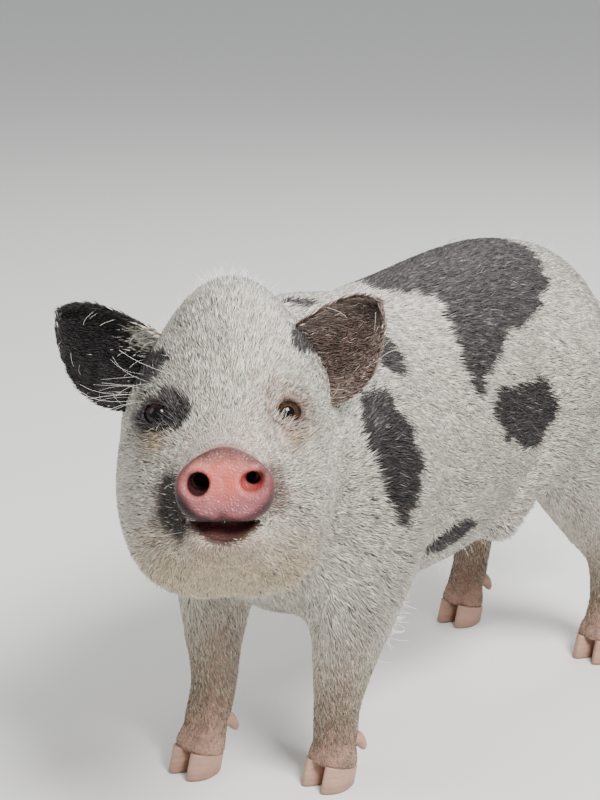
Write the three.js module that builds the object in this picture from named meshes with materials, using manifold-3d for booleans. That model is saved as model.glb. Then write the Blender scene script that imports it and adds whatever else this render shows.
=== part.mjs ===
// A young domestic pig, standing square with its head turned to its left.
// Millimetres. +Z up, the pig faces -Y, +X is its left side, and it stands on z = 0.
// The body is one smooth distance field of rounded masses. It is parted into named pieces,
// and the eyes, ears, hooves, dewclaws and tail are set in with a thin gap.

import * as THREE from 'three';
import { mergeVertices } from 'three/addons/utils/BufferGeometryUtils.js';
import Module from 'manifold-3d';

const wasm = await Module();
wasm.setup();

const GAP = 0.3;              // between pieces that meet
const ROOT_GAP = 0.6;         // between a piece and the faceted skin it grows from
const SIDES = { left: 1, right: -1 };

// Size of the net that each piece is cut from.
const CELL = { torso: 17, neck: 13.2, head: 7.6, leg: 8.6 };

// Trunk: centre, half sizes and pitch of each mass.
const BARREL = { at: [0, -28, 203], size: [84, 128, 96], pitch: 4 };
const SHOULDERS = { at: [0, -98, 198], size: [70, 84, 83], blend: 30 };
const LOIN = { at: [0, 64, 227], size: [73, 103, 82], blend: 30 };
const RUMP = { at: [0, 102, 221], size: [50, 66, 69], blend: 24 };
const BRISKET = { at: [4, -132, 176], size: [48, 50, 62], blend: 30 };

// Head: its frame has its origin at the snout disc, +y to the back of the skull.
const SNOUT = [122, -302, 260];
const HEAD_YAW = 44.5;
const HEAD_PITCH = -17;
const NAPE = { from: [2, 112, 36], to: [0, -112, 242], radii: [44, 50] };
const NECK = { root: [2, -130, 222], bend: [-4, -8, 4], skull: [0, 108, 12], radii: [78, 64, 50] };
const CRANIUM = { at: [4, 104, 50], size: [39, 50, 57] };
const TEMPLES = { at: [1, 88, 36], size: [46, 40, 34], blend: 18 };
const FACE = { at: [0, 84, 4], size: [48, 52, 50], blend: 18 };
const JOWL = { at: [28, 84, -14], size: [27, 44, 37], blend: 18 };
const BROW = { at: [31, 66, 42], size: [13, 17, 11], blend: 10 };
const CHEEK = { at: [33, 66, 25], size: [13, 18, 12], blend: 12 };
const MUZZLE = { from: [0, 66, 8], to: [0, 25, 1.5], radii: [39, 22.5], blend: 18 };
const JAW = { from: [14, 74, -30], to: [8, 21, -27], radii: [30, 12.5], blend: 12 };
const DISC = { width: 48.6, crown: 19, chin: 18, thickness: 10, front: -0.8, round: 3.6 };
const NOSTRIL = { at: [12.6, -1, -0.5], size: [4.8, 7, 6.4], inner: [8.5, 16, 3], bore: 3.6 };
const MOUTH = { height: -22.6, curve: 0.0105, rise: 0.12, halfWidth: 31, open: 18, depth: 34, gap: 7.4 };
const EYE = { apart: 31.3, across: -1.2, back: 53.5, height: 34, radius: 9, lid: 1.7 };
const GAZE = [0.34, -0.92, 0.2];
const LID_SLIT = [13, 10.4];

// Ear: a cupped leaf from root to tip, in the head's frame.
const EAR_ROOT = [34, 99, 57];
const EAR_TIP = { left: [82, 90, 93], right: [-86, 90, 89] };
const EAR_LOWER = { left: 1, right: 1.12 };
const EAR = { upper: 18, lower: 19, belly: 9, cup: 18, thickness: 2.4, rows: 10, columns: 10 };

// Legs: the axis and half width at each station, from the trunk to the foot.
const FORE_HEIGHTS = [190, 156, 122, 86, 54, 30, 14];
const FORE_GIRTH = [42, 36.5, 26.5, 19, 14.6, 14.8, 16];
const HIND_HEIGHTS = [215, 176, 140, 104, 77, 46, 27, 13];
const HIND_GIRTH = [56, 43.5, 29.5, 20.5, 15.5, 13.5, 14.5, 15.5];
const LEGS = {
  foreleg_left: {
    x: [50, 54, 55, 50, 43, 39, 37],
    y: [-112, -120, -127, -130, -128, -125, -125],
    foot: [36, -128],
  },
  foreleg_right: {
    x: [-50, -50, -47, -43, -40, -38, -37],
    y: [-108, -122, -138, -147, -151, -160, -166],
    foot: [-37, -172],
  },
  hindleg_left: {
    x: [34, 46, 53, 57, 58, 57, 56, 55],
    y: [84, 88, 104, 127, 146, 152, 149, 145],
    foot: [55, 142],
  },
  hindleg_right: {
    x: [-34, -44, -51, -54, -56, -57, -57, -57],
    y: [84, 90, 104, 123, 141, 140, 134, 130],
    foot: [-57, 127],
  },
};
const LEG_BLEND = 21;
const FOOT_PAD = { spread: 7.5, back: 4, height: 16, size: [8.6, 13, 12], blend: 5 };

// Hooves: two claws a foot, and two dewclaws behind the pastern.
const CLAW = { width: 16, length: 28, back: 3, cleft: 1.4, lean: 4, flare: 0.94, sides: 14 };
const CORONET = { height: 14.5, slope: 0.28 };
const DEWCLAW = { spread: 7.5, back: 8, height: 31, drop: 10, reach: 8.5, radius: 4.8, sides: 8 };

// Tail: hangs from the rump, with a thin tip.
const TAIL_AXIS = [[3, 150, 247], [6, 183, 243], [12, 205, 216], [17, 210, 182], [18, 203, 150]];
const TAIL_RADII = [11, 9.5, 6.5, 4.6, 2];
const TAIL_SIDES = 12;
const TAIL_RINGS = 12;

// Planes that part the body: a point and the direction that faces out of the piece.
const SKULL_PLANE = { at: [0, 122, 20], out: [0, 1, -0.22] };
const NECK_PLANE = { at: [25, -160, 235], out: [-0.5, 0.8, -0.33] };
const FORE_CUT = { inner: [10, 108], rise: 1.05, end: [-84, 120], lean: -0.35 };
const HIND_CUT = { inner: [10, 112], rise: 1.15, end: [54, 130], lean: 0.05 };

const SKIN = { color: 0xd9c8c0, roughness: 0.72 };
const EAR_SKIN = { color: 0x8a7068, roughness: 0.7 };
const LEG_SKIN = { color: 0xb59a8c, roughness: 0.75 };
const HORN = { color: 0xa8876f, roughness: 0.55 };
const EYE_GLOSS = { color: 0x2a1a12, roughness: 0.12 };

const degrees = THREE.MathUtils.degToRad;
const mirrored = ([x, y, z], side) => [x * side, y, z];

// Distance fields: functions of x, y, z that are negative inside.

function egg({ at, size, pitch = 0 }) {
  const [cx, cy, cz] = at;
  const [a, b, c] = size;
  const cos = Math.cos(degrees(pitch));
  const sin = Math.sin(degrees(pitch));
  return (x, y, z) => {
    const dx = x - cx;
    const dy = (y - cy) * cos + (z - cz) * sin;
    const dz = (z - cz) * cos - (y - cy) * sin;
    const near = Math.hypot(dx / a, dy / b, dz / c);
    const slope = Math.hypot(dx / a ** 2, dy / b ** 2, dz / c ** 2) + 1e-9;
    return near * (near - 1) / slope;
  };
}

function bone({ from, to, radii }) {
  const [ax, ay, az] = from;
  const [bx, by, bz] = to.map((value, i) => value - from[i]);
  const squared = bx * bx + by * by + bz * bz;
  return (x, y, z) => {
    const px = x - ax;
    const py = y - ay;
    const pz = z - az;
    const t = THREE.MathUtils.clamp((px * bx + py * by + pz * bz) / squared, 0, 1);
    const radius = radii[0] + (radii[1] - radii[0]) * t;
    return Math.hypot(px - t * bx, py - t * by, pz - t * bz) - radius;
  };
}

function smoothMin(a, b, blend) {
  const overlap = Math.max(blend - Math.abs(a - b), 0) / blend;
  return Math.min(a, b) - overlap * overlap * blend / 4;
}

const smoothMax = (a, b, blend) => -smoothMin(-a, -b, blend);

function blended(first, ...others) {
  const base = egg(first);
  const fields = others.map((shape) => [shape.radii ? bone(shape) : egg(shape), shape.blend]);
  return (x, y, z) => fields.reduce(
    (d, [field, blend]) => smoothMin(d, field(x, y, z), blend),
    base(x, y, z),
  );
}

// A smooth curve through values at falling heights.
function throughHeights(heights, values) {
  const slopes = values.map((_, i) => {
    const above = Math.max(i - 1, 0);
    const below = Math.min(i + 1, values.length - 1);
    return (values[below] - values[above]) / (heights[below] - heights[above]);
  });
  return (z) => {
    if (z >= heights[0]) return values[0];
    if (z <= heights.at(-1)) return values.at(-1);
    const i = heights.findIndex((height) => height < z) - 1;
    const span = heights[i + 1] - heights[i];
    const t = (z - heights[i]) / span;
    const ease = t * t * (3 - 2 * t);
    const enter = t * (1 - t) * (1 - t) * span;
    const leave = t * t * (t - 1) * span;
    return values[i] * (1 - ease) + values[i + 1] * ease + slopes[i] * enter + slopes[i + 1] * leave;
  };
}

// A limb of round sections stacked over its axis, and two pads at the foot.
function limb(name) {
  const fore = name.startsWith('fore');
  const heights = fore ? FORE_HEIGHTS : HIND_HEIGHTS;
  const girth = throughHeights(heights, fore ? FORE_GIRTH : HIND_GIRTH);
  const axisX = throughHeights(heights, LEGS[name].x);
  const axisY = throughHeights(heights, LEGS[name].y);
  const [footX, footY] = LEGS[name].foot;
  const pads = [-1, 1].map((side) => egg({
    at: [footX + side * FOOT_PAD.spread, footY + FOOT_PAD.back, FOOT_PAD.height],
    size: FOOT_PAD.size,
  }));
  return (x, y, z) => {
    const level = THREE.MathUtils.clamp(z, heights.at(-1), heights[0]);
    const lean = (axisY(level + 3) - axisY(level - 3)) / 6;
    const across = Math.hypot(x - axisX(level), (y - axisY(level)) / Math.hypot(1, lean));
    let d = Math.hypot(across, z - level) - girth(level);
    for (const pad of pads) d = smoothMin(d, pad(x, y, z), FOOT_PAD.blend);
    return d;
  };
}

const trunk = blended(BARREL, SHOULDERS, LOIN, RUMP, BRISKET);

const bothSides = (shape) => Object.values(SIDES).map((side) => (shape.radii
  ? { ...shape, from: mirrored(shape.from, side), to: mirrored(shape.to, side) }
  : { ...shape, at: mirrored(shape.at, side) }));

const skull = blended(
  CRANIUM,
  TEMPLES,
  FACE,
  ...bothSides(JOWL),
  ...bothSides(BROW),
  ...bothSides(CHEEK),
  MUZZLE,
  ...bothSides(JAW),
);

const headPlace = new THREE.Matrix4()
  .makeRotationFromEuler(new THREE.Euler(degrees(HEAD_PITCH), 0, degrees(HEAD_YAW), 'ZXY'))
  .setPosition(...SNOUT);
const headPlaceInverse = headPlace.clone().invert();

function moved(field, matrix) {
  const m = matrix.elements;
  return (x, y, z) => field(
    m[0] * x + m[4] * y + m[8] * z + m[12],
    m[1] * x + m[5] * y + m[9] * z + m[13],
    m[2] * x + m[6] * y + m[10] * z + m[14],
  );
}

function neckField() {
  const root = new THREE.Vector3(...NECK.root);
  const nape = new THREE.Vector3(...NECK.skull).applyMatrix4(headPlace);
  const middle = root.clone().lerp(nape, 0.5).add(new THREE.Vector3(...NECK.bend));
  const [wide, mid, narrow] = NECK.radii;
  const lower = bone({ from: root.toArray(), to: middle.toArray(), radii: [wide, mid] });
  const upper = bone({ from: middle.toArray(), to: nape.toArray(), radii: [mid, narrow] });
  const poll = new THREE.Vector3(...NAPE.from).applyMatrix4(headPlace);
  const crest = bone({ from: poll.toArray(), to: NAPE.to, radii: NAPE.radii });
  return (x, y, z) => smoothMin(
    smoothMin(lower(x, y, z), upper(x, y, z), 20),
    crest(x, y, z),
    20,
  );
}

const limbs = Object.fromEntries(Object.keys(LEGS).map((name) => [name, limb(name)]));
const neck = neckField();
const headOnBody = moved(skull, headPlaceInverse);

function flesh(x, y, z) {
  let d = trunk(x, y, z);
  for (const field of Object.values(limbs)) d = smoothMin(d, field(x, y, z), LEG_BLEND);
  d = smoothMin(d, neck(x, y, z), 30);
  return smoothMin(d, headOnBody(x, y, z), 20);
}

const fleshFromHead = moved(flesh, headPlace);

// Turns a field inside a box into a closed net of quads, split into triangles, at a level.
function netOf(field, low, high, cell, level = 0) {
  const inBox = (x, y, z) => Math.max(
    field(x, y, z) - level,
    low[0] - x, x - high[0], low[1] - y, y - high[1], low[2] - z, z - high[2],
  );
  const count = low.map((value, i) => Math.ceil((high[i] - value) / cell) + 3);
  const start = low.map((value) => value - cell * 1.5);
  const [nx, ny, nz] = count;
  const at = (i, j, k) => (k * ny + j) * nx + i;
  const values = new Float64Array(nx * ny * nz);
  for (let k = 0; k < nz; k++) {
    for (let j = 0; j < ny; j++) {
      for (let i = 0; i < nx; i++) {
        values[at(i, j, k)] = inBox(start[0] + i * cell, start[1] + j * cell, start[2] + k * cell);
      }
    }
  }
  const corners = [];
  for (let n = 0; n < 8; n++) corners.push([n & 1, (n >> 1) & 1, (n >> 2) & 1]);
  const edges = [];
  for (let a = 0; a < 8; a++) {
    for (const bit of [1, 2, 4]) if (!(a & bit)) edges.push([a, a | bit]);
  }
  const vertexOf = new Int32Array(nx * ny * nz).fill(-1);
  const points = [];
  for (let k = 0; k < nz - 1; k++) {
    for (let j = 0; j < ny - 1; j++) {
      for (let i = 0; i < nx - 1; i++) {
        const here = corners.map(([a, b, c]) => values[at(i + a, j + b, k + c)]);
        const sum = new THREE.Vector3();
        let crossings = 0;
        for (const [a, b] of edges) {
          if ((here[a] < 0) === (here[b] < 0)) continue;
          const t = here[a] / (here[a] - here[b]);
          sum.add(new THREE.Vector3(...corners[a]).lerp(new THREE.Vector3(...corners[b]), t));
          crossings++;
        }
        if (!crossings) continue;
        sum.divideScalar(crossings).add(new THREE.Vector3(i, j, k)).multiplyScalar(cell);
        vertexOf[at(i, j, k)] = points.length;
        points.push(settled(inBox, sum.add(new THREE.Vector3(...start)), cell));
      }
    }
  }
  const index = [];
  const step = [[1, 0, 0], [0, 1, 0], [0, 0, 1]];
  for (let k = 1; k < nz - 1; k++) {
    for (let j = 1; j < ny - 1; j++) {
      for (let i = 1; i < nx - 1; i++) {
        for (let axis = 0; axis < 3; axis++) {
          const [di, dj, dk] = step[axis];
          const inside = values[at(i, j, k)] < 0;
          if (inside === (values[at(i + di, j + dj, k + dk)] < 0)) continue;
          const [ui, uj, uk] = step[(axis + 1) % 3];
          const [wi, wj, wk] = step[(axis + 2) % 3];
          const quad = [[1, 1], [0, 1], [0, 0], [1, 0]].map(([u, w]) => vertexOf[
            at(i - u * ui - w * wi, j - u * uj - w * wj, k - u * uk - w * wk)]);
          if (!inside) quad.reverse();
          const [a, b, c, d] = quad;
          const shortFirst = points[a].distanceTo(points[c]) <= points[b].distanceTo(points[d]);
          index.push(...(shortFirst ? [a, b, c, a, c, d] : [a, b, d, b, c, d]));
        }
      }
    }
  }
  return surface(points, index);
}

// Moves a point of the net onto the surface of its field.
function settled(field, point, cell) {
  const h = 0.2;
  for (let round = 0; round < 3; round++) {
    const { x, y, z } = point;
    const d = field(x, y, z);
    const slope = new THREE.Vector3(
      field(x + h, y, z) - field(x - h, y, z),
      field(x, y + h, z) - field(x, y - h, z),
      field(x, y, z + h) - field(x, y, z - h),
    ).divideScalar(2 * h);
    const steep = Math.max(slope.length(), 0.3);
    const move = THREE.MathUtils.clamp(d / steep, -cell / 3, cell / 3);
    point.addScaledVector(slope.normalize(), -move);
  }
  return point;
}

function surface(points, index) {
  const geometry = new THREE.BufferGeometry();
  geometry.setAttribute('position', new THREE.Float32BufferAttribute(
    points.flatMap((point) => point.toArray()), 3));
  geometry.setIndex(index);
  return geometry;
}

// A closed body from rings of equal count, with a fan over each end.
function lofted(rings) {
  const sides = rings[0].length;
  const points = rings.flat();
  const index = [];
  for (let r = 0; r < rings.length - 1; r++) {
    for (let s = 0; s < sides; s++) {
      const a = r * sides + s;
      const b = r * sides + (s + 1) % sides;
      index.push(a, b, b + sides, a, b + sides, a + sides);
    }
  }
  for (const [ring, base] of [[rings[0], 0], [rings.at(-1), points.length - sides]]) {
    const centre = ring.reduce((sum, point) => sum.add(point), new THREE.Vector3())
      .divideScalar(sides);
    const hub = points.push(centre) - 1;
    for (let s = 0; s < sides; s++) {
      const a = base + s;
      const b = base + (s + 1) % sides;
      index.push(...(base === 0 ? [hub, b, a] : [hub, a, b]));
    }
  }
  return surface(points, index);
}

// Solids for joining and cutting.

function solidOf(geometry, matrix) {
  const bare = geometry.clone();
  bare.deleteAttribute('normal');
  bare.deleteAttribute('uv');
  if (matrix) bare.applyMatrix4(matrix);
  const merged = mergeVertices(bare, 1e-4);
  return new wasm.Manifold(new wasm.Mesh({
    numProp: 3,
    vertProperties: merged.attributes.position.array,
    triVerts: new Uint32Array(merged.index.array),
  }));
}

function geometryOf(solid) {
  const [largest] = solid.decompose().sort((a, b) => b.volume() - a.volume());
  const mesh = largest.getMesh();
  const geometry = new THREE.BufferGeometry();
  geometry.setAttribute('position', new THREE.Float32BufferAttribute(mesh.vertProperties, 3));
  geometry.setIndex(new THREE.Uint32BufferAttribute(mesh.triVerts, 1));
  geometry.computeVertexNormals();
  return geometry;
}

// The side of a plane that lies behind it, as a large box moved out by a distance.
function behind({ at, out }, shift) {
  const reach = 1200;
  const normal = new THREE.Vector3(...out).normalize();
  const turn = new THREE.Quaternion().setFromUnitVectors(new THREE.Vector3(0, 0, 1), normal);
  const centre = new THREE.Vector3(...at).addScaledVector(normal, shift - reach / 2);
  const place = new THREE.Matrix4().compose(centre, turn, new THREE.Vector3(1, 1, 1));
  return solidOf(new THREE.BoxGeometry(reach, reach, reach), place);
}

const within = (planes, shift) => planes.map((plane) => behind(plane, shift))
  .reduce((a, b) => a.intersect(b));
const turned = ({ at, out }) => ({ at, out: out.map((value) => -value) });

function placedPlane({ at, out }, matrix) {
  return {
    at: new THREE.Vector3(...at).applyMatrix4(matrix).toArray(),
    out: new THREE.Vector3(...out).transformDirection(matrix).toArray(),
  };
}

const skullPlane = placedPlane(SKULL_PLANE, headPlace);

function legPlanes(name) {
  const side = name.endsWith('left') ? 1 : -1;
  const fore = name.startsWith('fore');
  const { inner, rise, end, lean } = fore ? FORE_CUT : HIND_CUT;
  return [
    { at: [side * inner[0], 0, inner[1]], out: [-side * rise, 0, 1] },
    { at: [0, end[0], end[1]], out: fore ? [0, 1, lean] : [0, -1, lean] },
  ];
}

function coronetPlane(name) {
  const [x, y] = LEGS[name].foot;
  return { at: [x, y, CORONET.height], out: [0, CORONET.slope, 1] };
}

// Pieces.

function torso(level) {
  const low = [-110, -215, 92];
  const high = [110, 200, 330];
  let solid = solidOf(netOf(flesh, low, high, CELL.torso, level));
  if (level) return solid;
  solid = solid.intersect(behind(turned(NECK_PLANE), -GAP / 2));
  for (const name of Object.keys(LEGS)) solid = solid.subtract(within(legPlanes(name), GAP / 2));
  return solid;
}

function neckPiece() {
  const low = [-80, -290, 120];
  const high = [130, -90, 345];
  return solidOf(netOf(flesh, low, high, CELL.neck))
    .intersect(behind(NECK_PLANE, -GAP / 2))
    .intersect(behind(turned(skullPlane), -GAP / 2));
}

function leg(name, level = 0) {
  const [x, y] = LEGS[name].foot;
  const inner = name.endsWith('left') ? [2, 115] : [-115, -2];
  const low = [inner[0], y - 100, -20];
  const high = [inner[1], y + 100, 232];
  const solid = solidOf(netOf(flesh, low, high, CELL.leg, level));
  if (level) return solid;
  return solid
    .intersect(within(legPlanes(name), -GAP / 2))
    .intersect(behind(turned(NECK_PLANE), -GAP / 2))
    .intersect(behind(turned(coronetPlane(name)), -GAP / 2));
}

function claw(name, side) {
  const [footX, footY] = LEGS[name].foot;
  const { width, length, back, cleft, lean, flare, sides } = CLAW;
  const top = (y) => CORONET.height - CORONET.slope * (y - footY) - GAP / 2;
  const ring = (height, scale) => {
    const points = [];
    for (let s = 0; s < sides; s++) {
      const angle = 2 * Math.PI * s / sides;
      const toe = Math.max(-Math.sin(angle), 0);
      const across = Math.cos(angle) * (1 - 0.35 * toe ** 3);
      const inward = Math.sign(across) !== side;
      const half = width / 2 * (inward ? 0.86 : 1) * scale;
      const x = footX + side * (cleft / 2 + width * 0.43) + across * half;
      const along = footY + back + Math.sin(angle) * length / 2 * scale;
      const y = along - lean * (1 - height);
      points.push(new THREE.Vector3(x, y, height * top(along)));
    }
    return points;
  };
  return solidOf(lofted([ring(0, 0.93), ring(0.08, 1), ring(0.5, 0.97), ring(1, flare)]));
}

function dewclaw(name, side, legGrown) {
  const { spread, back, height, drop, reach, radius, sides } = DEWCLAW;
  const heights = name.startsWith('fore') ? FORE_HEIGHTS : HIND_HEIGHTS;
  const x = throughHeights(heights, LEGS[name].x)(height) + side * spread;
  const y = throughHeights(heights, LEGS[name].y)(height) + back;
  const rings = [];
  for (const t of [0, 0.45, 0.8, 1]) {
    const size = radius * Math.sqrt(1 - 0.86 * t * t);
    const centre = new THREE.Vector3(x + side * 2 * t, y + reach * t, height - drop * t * t);
    rings.push(ringAround(centre, new THREE.Vector3(0, 1, -1.2 * t), size, sides));
  }
  return solidOf(lofted(rings)).subtract(legGrown);
}

// A ring of points square to a direction, started level with the x axis.
function ringAround(centre, along, radius, sides) {
  const over = new THREE.Vector3().crossVectors(along, new THREE.Vector3(1, 0, 0)).normalize();
  const across = new THREE.Vector3().crossVectors(over, along).normalize();
  const points = [];
  for (let s = 0; s < sides; s++) {
    const angle = 2 * Math.PI * s / sides;
    points.push(centre.clone()
      .addScaledVector(across, Math.cos(angle) * radius)
      .addScaledVector(over, Math.sin(angle) * radius));
  }
  return points;
}

function tail(torsoGrown) {
  const axis = new THREE.CatmullRomCurve3(TAIL_AXIS.map((point) => new THREE.Vector3(...point)));
  const girth = new THREE.CatmullRomCurve3(TAIL_RADII.map((r, i) => new THREE.Vector3(i, r, 0)));
  const rings = [];
  for (let r = 0; r <= TAIL_RINGS; r++) {
    const t = r / TAIL_RINGS;
    rings.push(ringAround(axis.getPoint(t), axis.getTangent(t), girth.getPoint(t).y, TAIL_SIDES));
  }
  return solidOf(lofted(rings)).subtract(torsoGrown);
}

// The snout disc: a rounded shield, wider below, with a notch at its lower edge.
function snoutDisc() {
  const { width, crown, chin, thickness, front, round } = DISC;
  const sides = 30;
  const outline = (angle, inset) => {
    const upper = Math.sin(angle) > 0;
    const power = upper ? 1 : 0.8;
    const wide = width / 2 - (upper ? 4 * Math.sin(angle) ** 2 : 0);
    const cos = Math.cos(angle);
    const sin = Math.sin(angle);
    const notch = 1.6 * Math.exp(-((cos * wide / 5) ** 2)) * (upper ? 0 : 1);
    return [
      Math.sign(cos) * Math.abs(cos) ** power * (wide - inset),
      Math.sign(sin) * (Math.abs(sin) ** power * ((upper ? crown : chin) - inset) - notch),
    ];
  };
  const rings = [];
  const edge = [[thickness, 2], [thickness * 0.7, 0.2], [round, 0], [1.1, 1.2], [0, round]];
  for (const [y, inset] of edge) {
    const ring = [];
    for (let s = 0; s < sides; s++) {
      const [x, z] = outline(2 * Math.PI * s / sides, inset);
      ring.push(new THREE.Vector3(x, front + y + 0.03 * z, z));
    }
    rings.push(ring);
  }
  return solidOf(lofted(rings));
}

function nostril(side) {
  const pit = new THREE.SphereGeometry(1, 14, 10).scale(...NOSTRIL.size);
  const mouthOfPit = solidOf(pit.translate(...mirrored(NOSTRIL.at, side)));
  const from = new THREE.Vector3(...mirrored(NOSTRIL.at, side));
  const to = new THREE.Vector3(...mirrored(NOSTRIL.inner, side));
  const along = to.clone().sub(from);
  const bore = [0, 1].map((t) => ringAround(from.clone().lerp(to, t), along, NOSTRIL.bore, 14));
  return mouthOfPit.add(solidOf(lofted(bore)));
}

// The parting of the lips: a thin curved wedge that closes to each corner.
function mouthCut() {
  const { height, curve, rise, halfWidth, open, depth, gap } = MOUTH;
  const steps = 12;
  const rings = [];
  for (let s = 0; s <= steps; s++) {
    const t = -1 + 2 * s / steps;
    const x = t * halfWidth;
    const bow = Math.min(Math.abs(x), open);
    const middle = height + curve * bow * bow + rise * (Math.abs(x) - bow);
    const half = Math.max(gap / 2 * (1 - (bow / open) ** 2.5), 0.45);
    const tight = Math.max(half * 0.35, 0.45);
    const back = middle + rise * (depth - 14);
    rings.push([
      new THREE.Vector3(x, -12, middle - half),
      new THREE.Vector3(x, 14, middle - half * 0.8),
      new THREE.Vector3(x, depth, back - tight),
      new THREE.Vector3(x, depth, back + tight),
      new THREE.Vector3(x, 14, middle + half * 0.8),
      new THREE.Vector3(x, -12, middle + half),
    ]);
  }
  return solidOf(lofted(rings));
}

const eyeCentre = (side) => [EYE.apart * side + EYE.across, EYE.back, EYE.height];

function eyeball(side, grow = 0) {
  const ball = new THREE.SphereGeometry(EYE.radius + grow, 16, 10);
  return solidOf(ball.translate(...eyeCentre(side)));
}

// The opening between the lids: an almond drawn out along the gaze.
function lidSlit(side) {
  const [width, height] = LID_SLIT;
  const sides = 20;
  const gaze = new THREE.Vector3(...mirrored(GAZE, side)).normalize();
  const across = new THREE.Vector3().crossVectors(gaze, new THREE.Vector3(0, 0, 1)).normalize();
  const drop = new THREE.Vector3().crossVectors(gaze, across);
  const rings = [2, 26].map((reach) => {
    const ring = [];
    for (let s = 0; s < sides; s++) {
      const angle = 2 * Math.PI * s / sides;
      const open = Math.sign(Math.sin(angle)) * Math.abs(Math.sin(angle)) ** 1.3;
      ring.push(new THREE.Vector3(...eyeCentre(side))
        .addScaledVector(gaze, reach)
        .addScaledVector(across, Math.cos(angle) * width / 2)
        .addScaledVector(drop, open * height / 2));
    }
    return ring;
  });
  return solidOf(lofted(rings));
}

function head() {
  const low = [-70, -8, -80];
  const high = [70, 175, 125];
  let solid = solidOf(netOf(fleshFromHead, low, high, CELL.head))
    .intersect(behind(SKULL_PLANE, -GAP / 2))
    .add(snoutDisc());
  for (const side of Object.values(SIDES)) {
    solid = solid.add(eyeball(side, EYE.lid));
  }
  for (const side of Object.values(SIDES)) {
    solid = solid.subtract(lidSlit(side)).subtract(eyeball(side, GAP)).subtract(nostril(side));
  }
  return solid.subtract(mouthCut());
}

// A cupped leaf: rows run from root to tip, and columns from the lower margin to the upper.
function ear(sideName, headGrown) {
  const side = SIDES[sideName];
  const root = new THREE.Vector3(...mirrored(EAR_ROOT, side));
  const tip = new THREE.Vector3(...EAR_TIP[sideName]);
  const along = tip.clone().sub(root);
  const length = along.length();
  along.normalize();
  const back = new THREE.Vector3(0, 1, 0).addScaledVector(along, -along.y).normalize();
  const up = new THREE.Vector3().crossVectors(back, along);
  if (up.z < 0) up.negate();
  const { rows, columns } = EAR;
  const sheet = (face) => {
    const points = [];
    for (let r = 0; r <= rows; r++) {
      const u = -0.25 + 1.25 * Math.sin(Math.PI / 2 * r / rows);
      const t = THREE.MathUtils.clamp(u, 0, 1);
      const upper = EAR.upper * Math.sqrt(Math.max(1 - t ** 3.2, 0.004)) * (1 - 0.18 * t);
      const lower = EAR_LOWER[sideName] * (EAR.lower + EAR.belly * Math.sin(Math.PI * t ** 0.8))
        * Math.sqrt(Math.max(1 - t ** 3, 0.004));
      for (let c = 0; c <= columns; c++) {
        const v = -Math.cos(Math.PI * c / columns);
        const cup = (13 * (1 - t) ** 0.8 + 5) * (1 - v * v) - 4 * t * t;
        const thin = EAR.thickness / 2 * (1 - 0.45 * t) * Math.sqrt(1 - 0.85 * v ** 4);
        points.push(root.clone()
          .addScaledVector(along, length * u)
          .addScaledVector(up, v > 0 ? v * upper : v * lower)
          .addScaledVector(back, cup + face * thin));
      }
    }
    return points;
  };
  const front = sheet(-1);
  const rear = sheet(1);
  const offset = front.length;
  const index = [];
  const quad = (a, b, c, d) => index.push(a, b, c, a, c, d);
  const id = (r, c) => r * (columns + 1) + c;
  for (let r = 0; r < rows; r++) {
    for (let c = 0; c < columns; c++) {
      quad(id(r, c), id(r, c + 1), id(r + 1, c + 1), id(r + 1, c));
      quad(offset + id(r, c), offset + id(r + 1, c), offset + id(r + 1, c + 1), offset + id(r, c + 1));
    }
    quad(id(r, 0), id(r + 1, 0), offset + id(r + 1, 0), offset + id(r, 0));
    quad(id(r, columns), offset + id(r, columns), offset + id(r + 1, columns), id(r + 1, columns));
  }
  for (let c = 0; c < columns; c++) {
    quad(id(0, c), offset + id(0, c), offset + id(0, c + 1), id(0, c + 1));
    quad(id(rows, c), id(rows, c + 1), offset + id(rows, c + 1), offset + id(rows, c));
  }
  if (side > 0) index.reverse();
  return solidOf(surface([...front, ...rear], index)).subtract(headGrown);
}

// The scene graph: the head's pieces hang in the head's own frame.

function mesh(name, solid, look) {
  const piece = new THREE.Mesh(geometryOf(solid), new THREE.MeshStandardMaterial(look));
  piece.name = name;
  return piece;
}

const body = new THREE.Group();
body.add(mesh('torso', torso(0), SKIN));
body.add(mesh('neck', neckPiece(), SKIN));
body.add(mesh('tail', tail(torso(ROOT_GAP)), SKIN));

for (const name of Object.keys(LEGS)) {
  const foot = name.replace('leg', 'foot');
  const legGrown = leg(name, ROOT_GAP);
  body.add(mesh(name, leg(name), LEG_SKIN));
  for (const [which, side] of [['a', -1], ['b', 1]]) {
    body.add(mesh(`${foot}_hoof_${which}`, claw(name, side), HORN));
    body.add(mesh(`${foot}_dewclaw_${which}`, dewclaw(name, side, legGrown), HORN));
  }
}

const headGroup = new THREE.Group();
headGroup.applyMatrix4(headPlace);
headGroup.add(mesh('head', head(), SKIN));
const headGrown = solidOf(netOf(fleshFromHead, [-70, -8, -80], [70, 175, 125], CELL.head, ROOT_GAP));
for (const [name, side] of Object.entries(SIDES)) {
  headGroup.add(mesh(`ear_${name}`, ear(name, headGrown), EAR_SKIN));
  headGroup.add(mesh(`eye_${name}`, eyeball(side), EYE_GLOSS));
}
body.add(headGroup);

// The part's origin is the middle of its bounding box, on the floor.
const pig = new THREE.Group();
pig.add(body);
const bounds = new THREE.Box3().setFromObject(pig, true);
const centre = bounds.getCenter(new THREE.Vector3());
body.position.set(-centre.x, -centre.y, -bounds.min.z);

export default pig;
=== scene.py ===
"""A young spotted pig, standing with its head turned to its left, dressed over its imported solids.

The skin is one fine net over the same rounded masses as the solids. It lies inside them by the
depth of the coat, and short tapered tufts fill the rest. Lengths are millimetres in the body's
own frame (X to the pig's left, Y to its rear, Z up) until a mesh is written in metres.
"""

from __future__ import annotations

import logging
import math
from collections.abc import Callable
from dataclasses import dataclass, field
from enum import Enum, IntEnum
from functools import cached_property

import bmesh
import bpy
import numpy as np
from mathutils import Matrix, Vector


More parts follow.
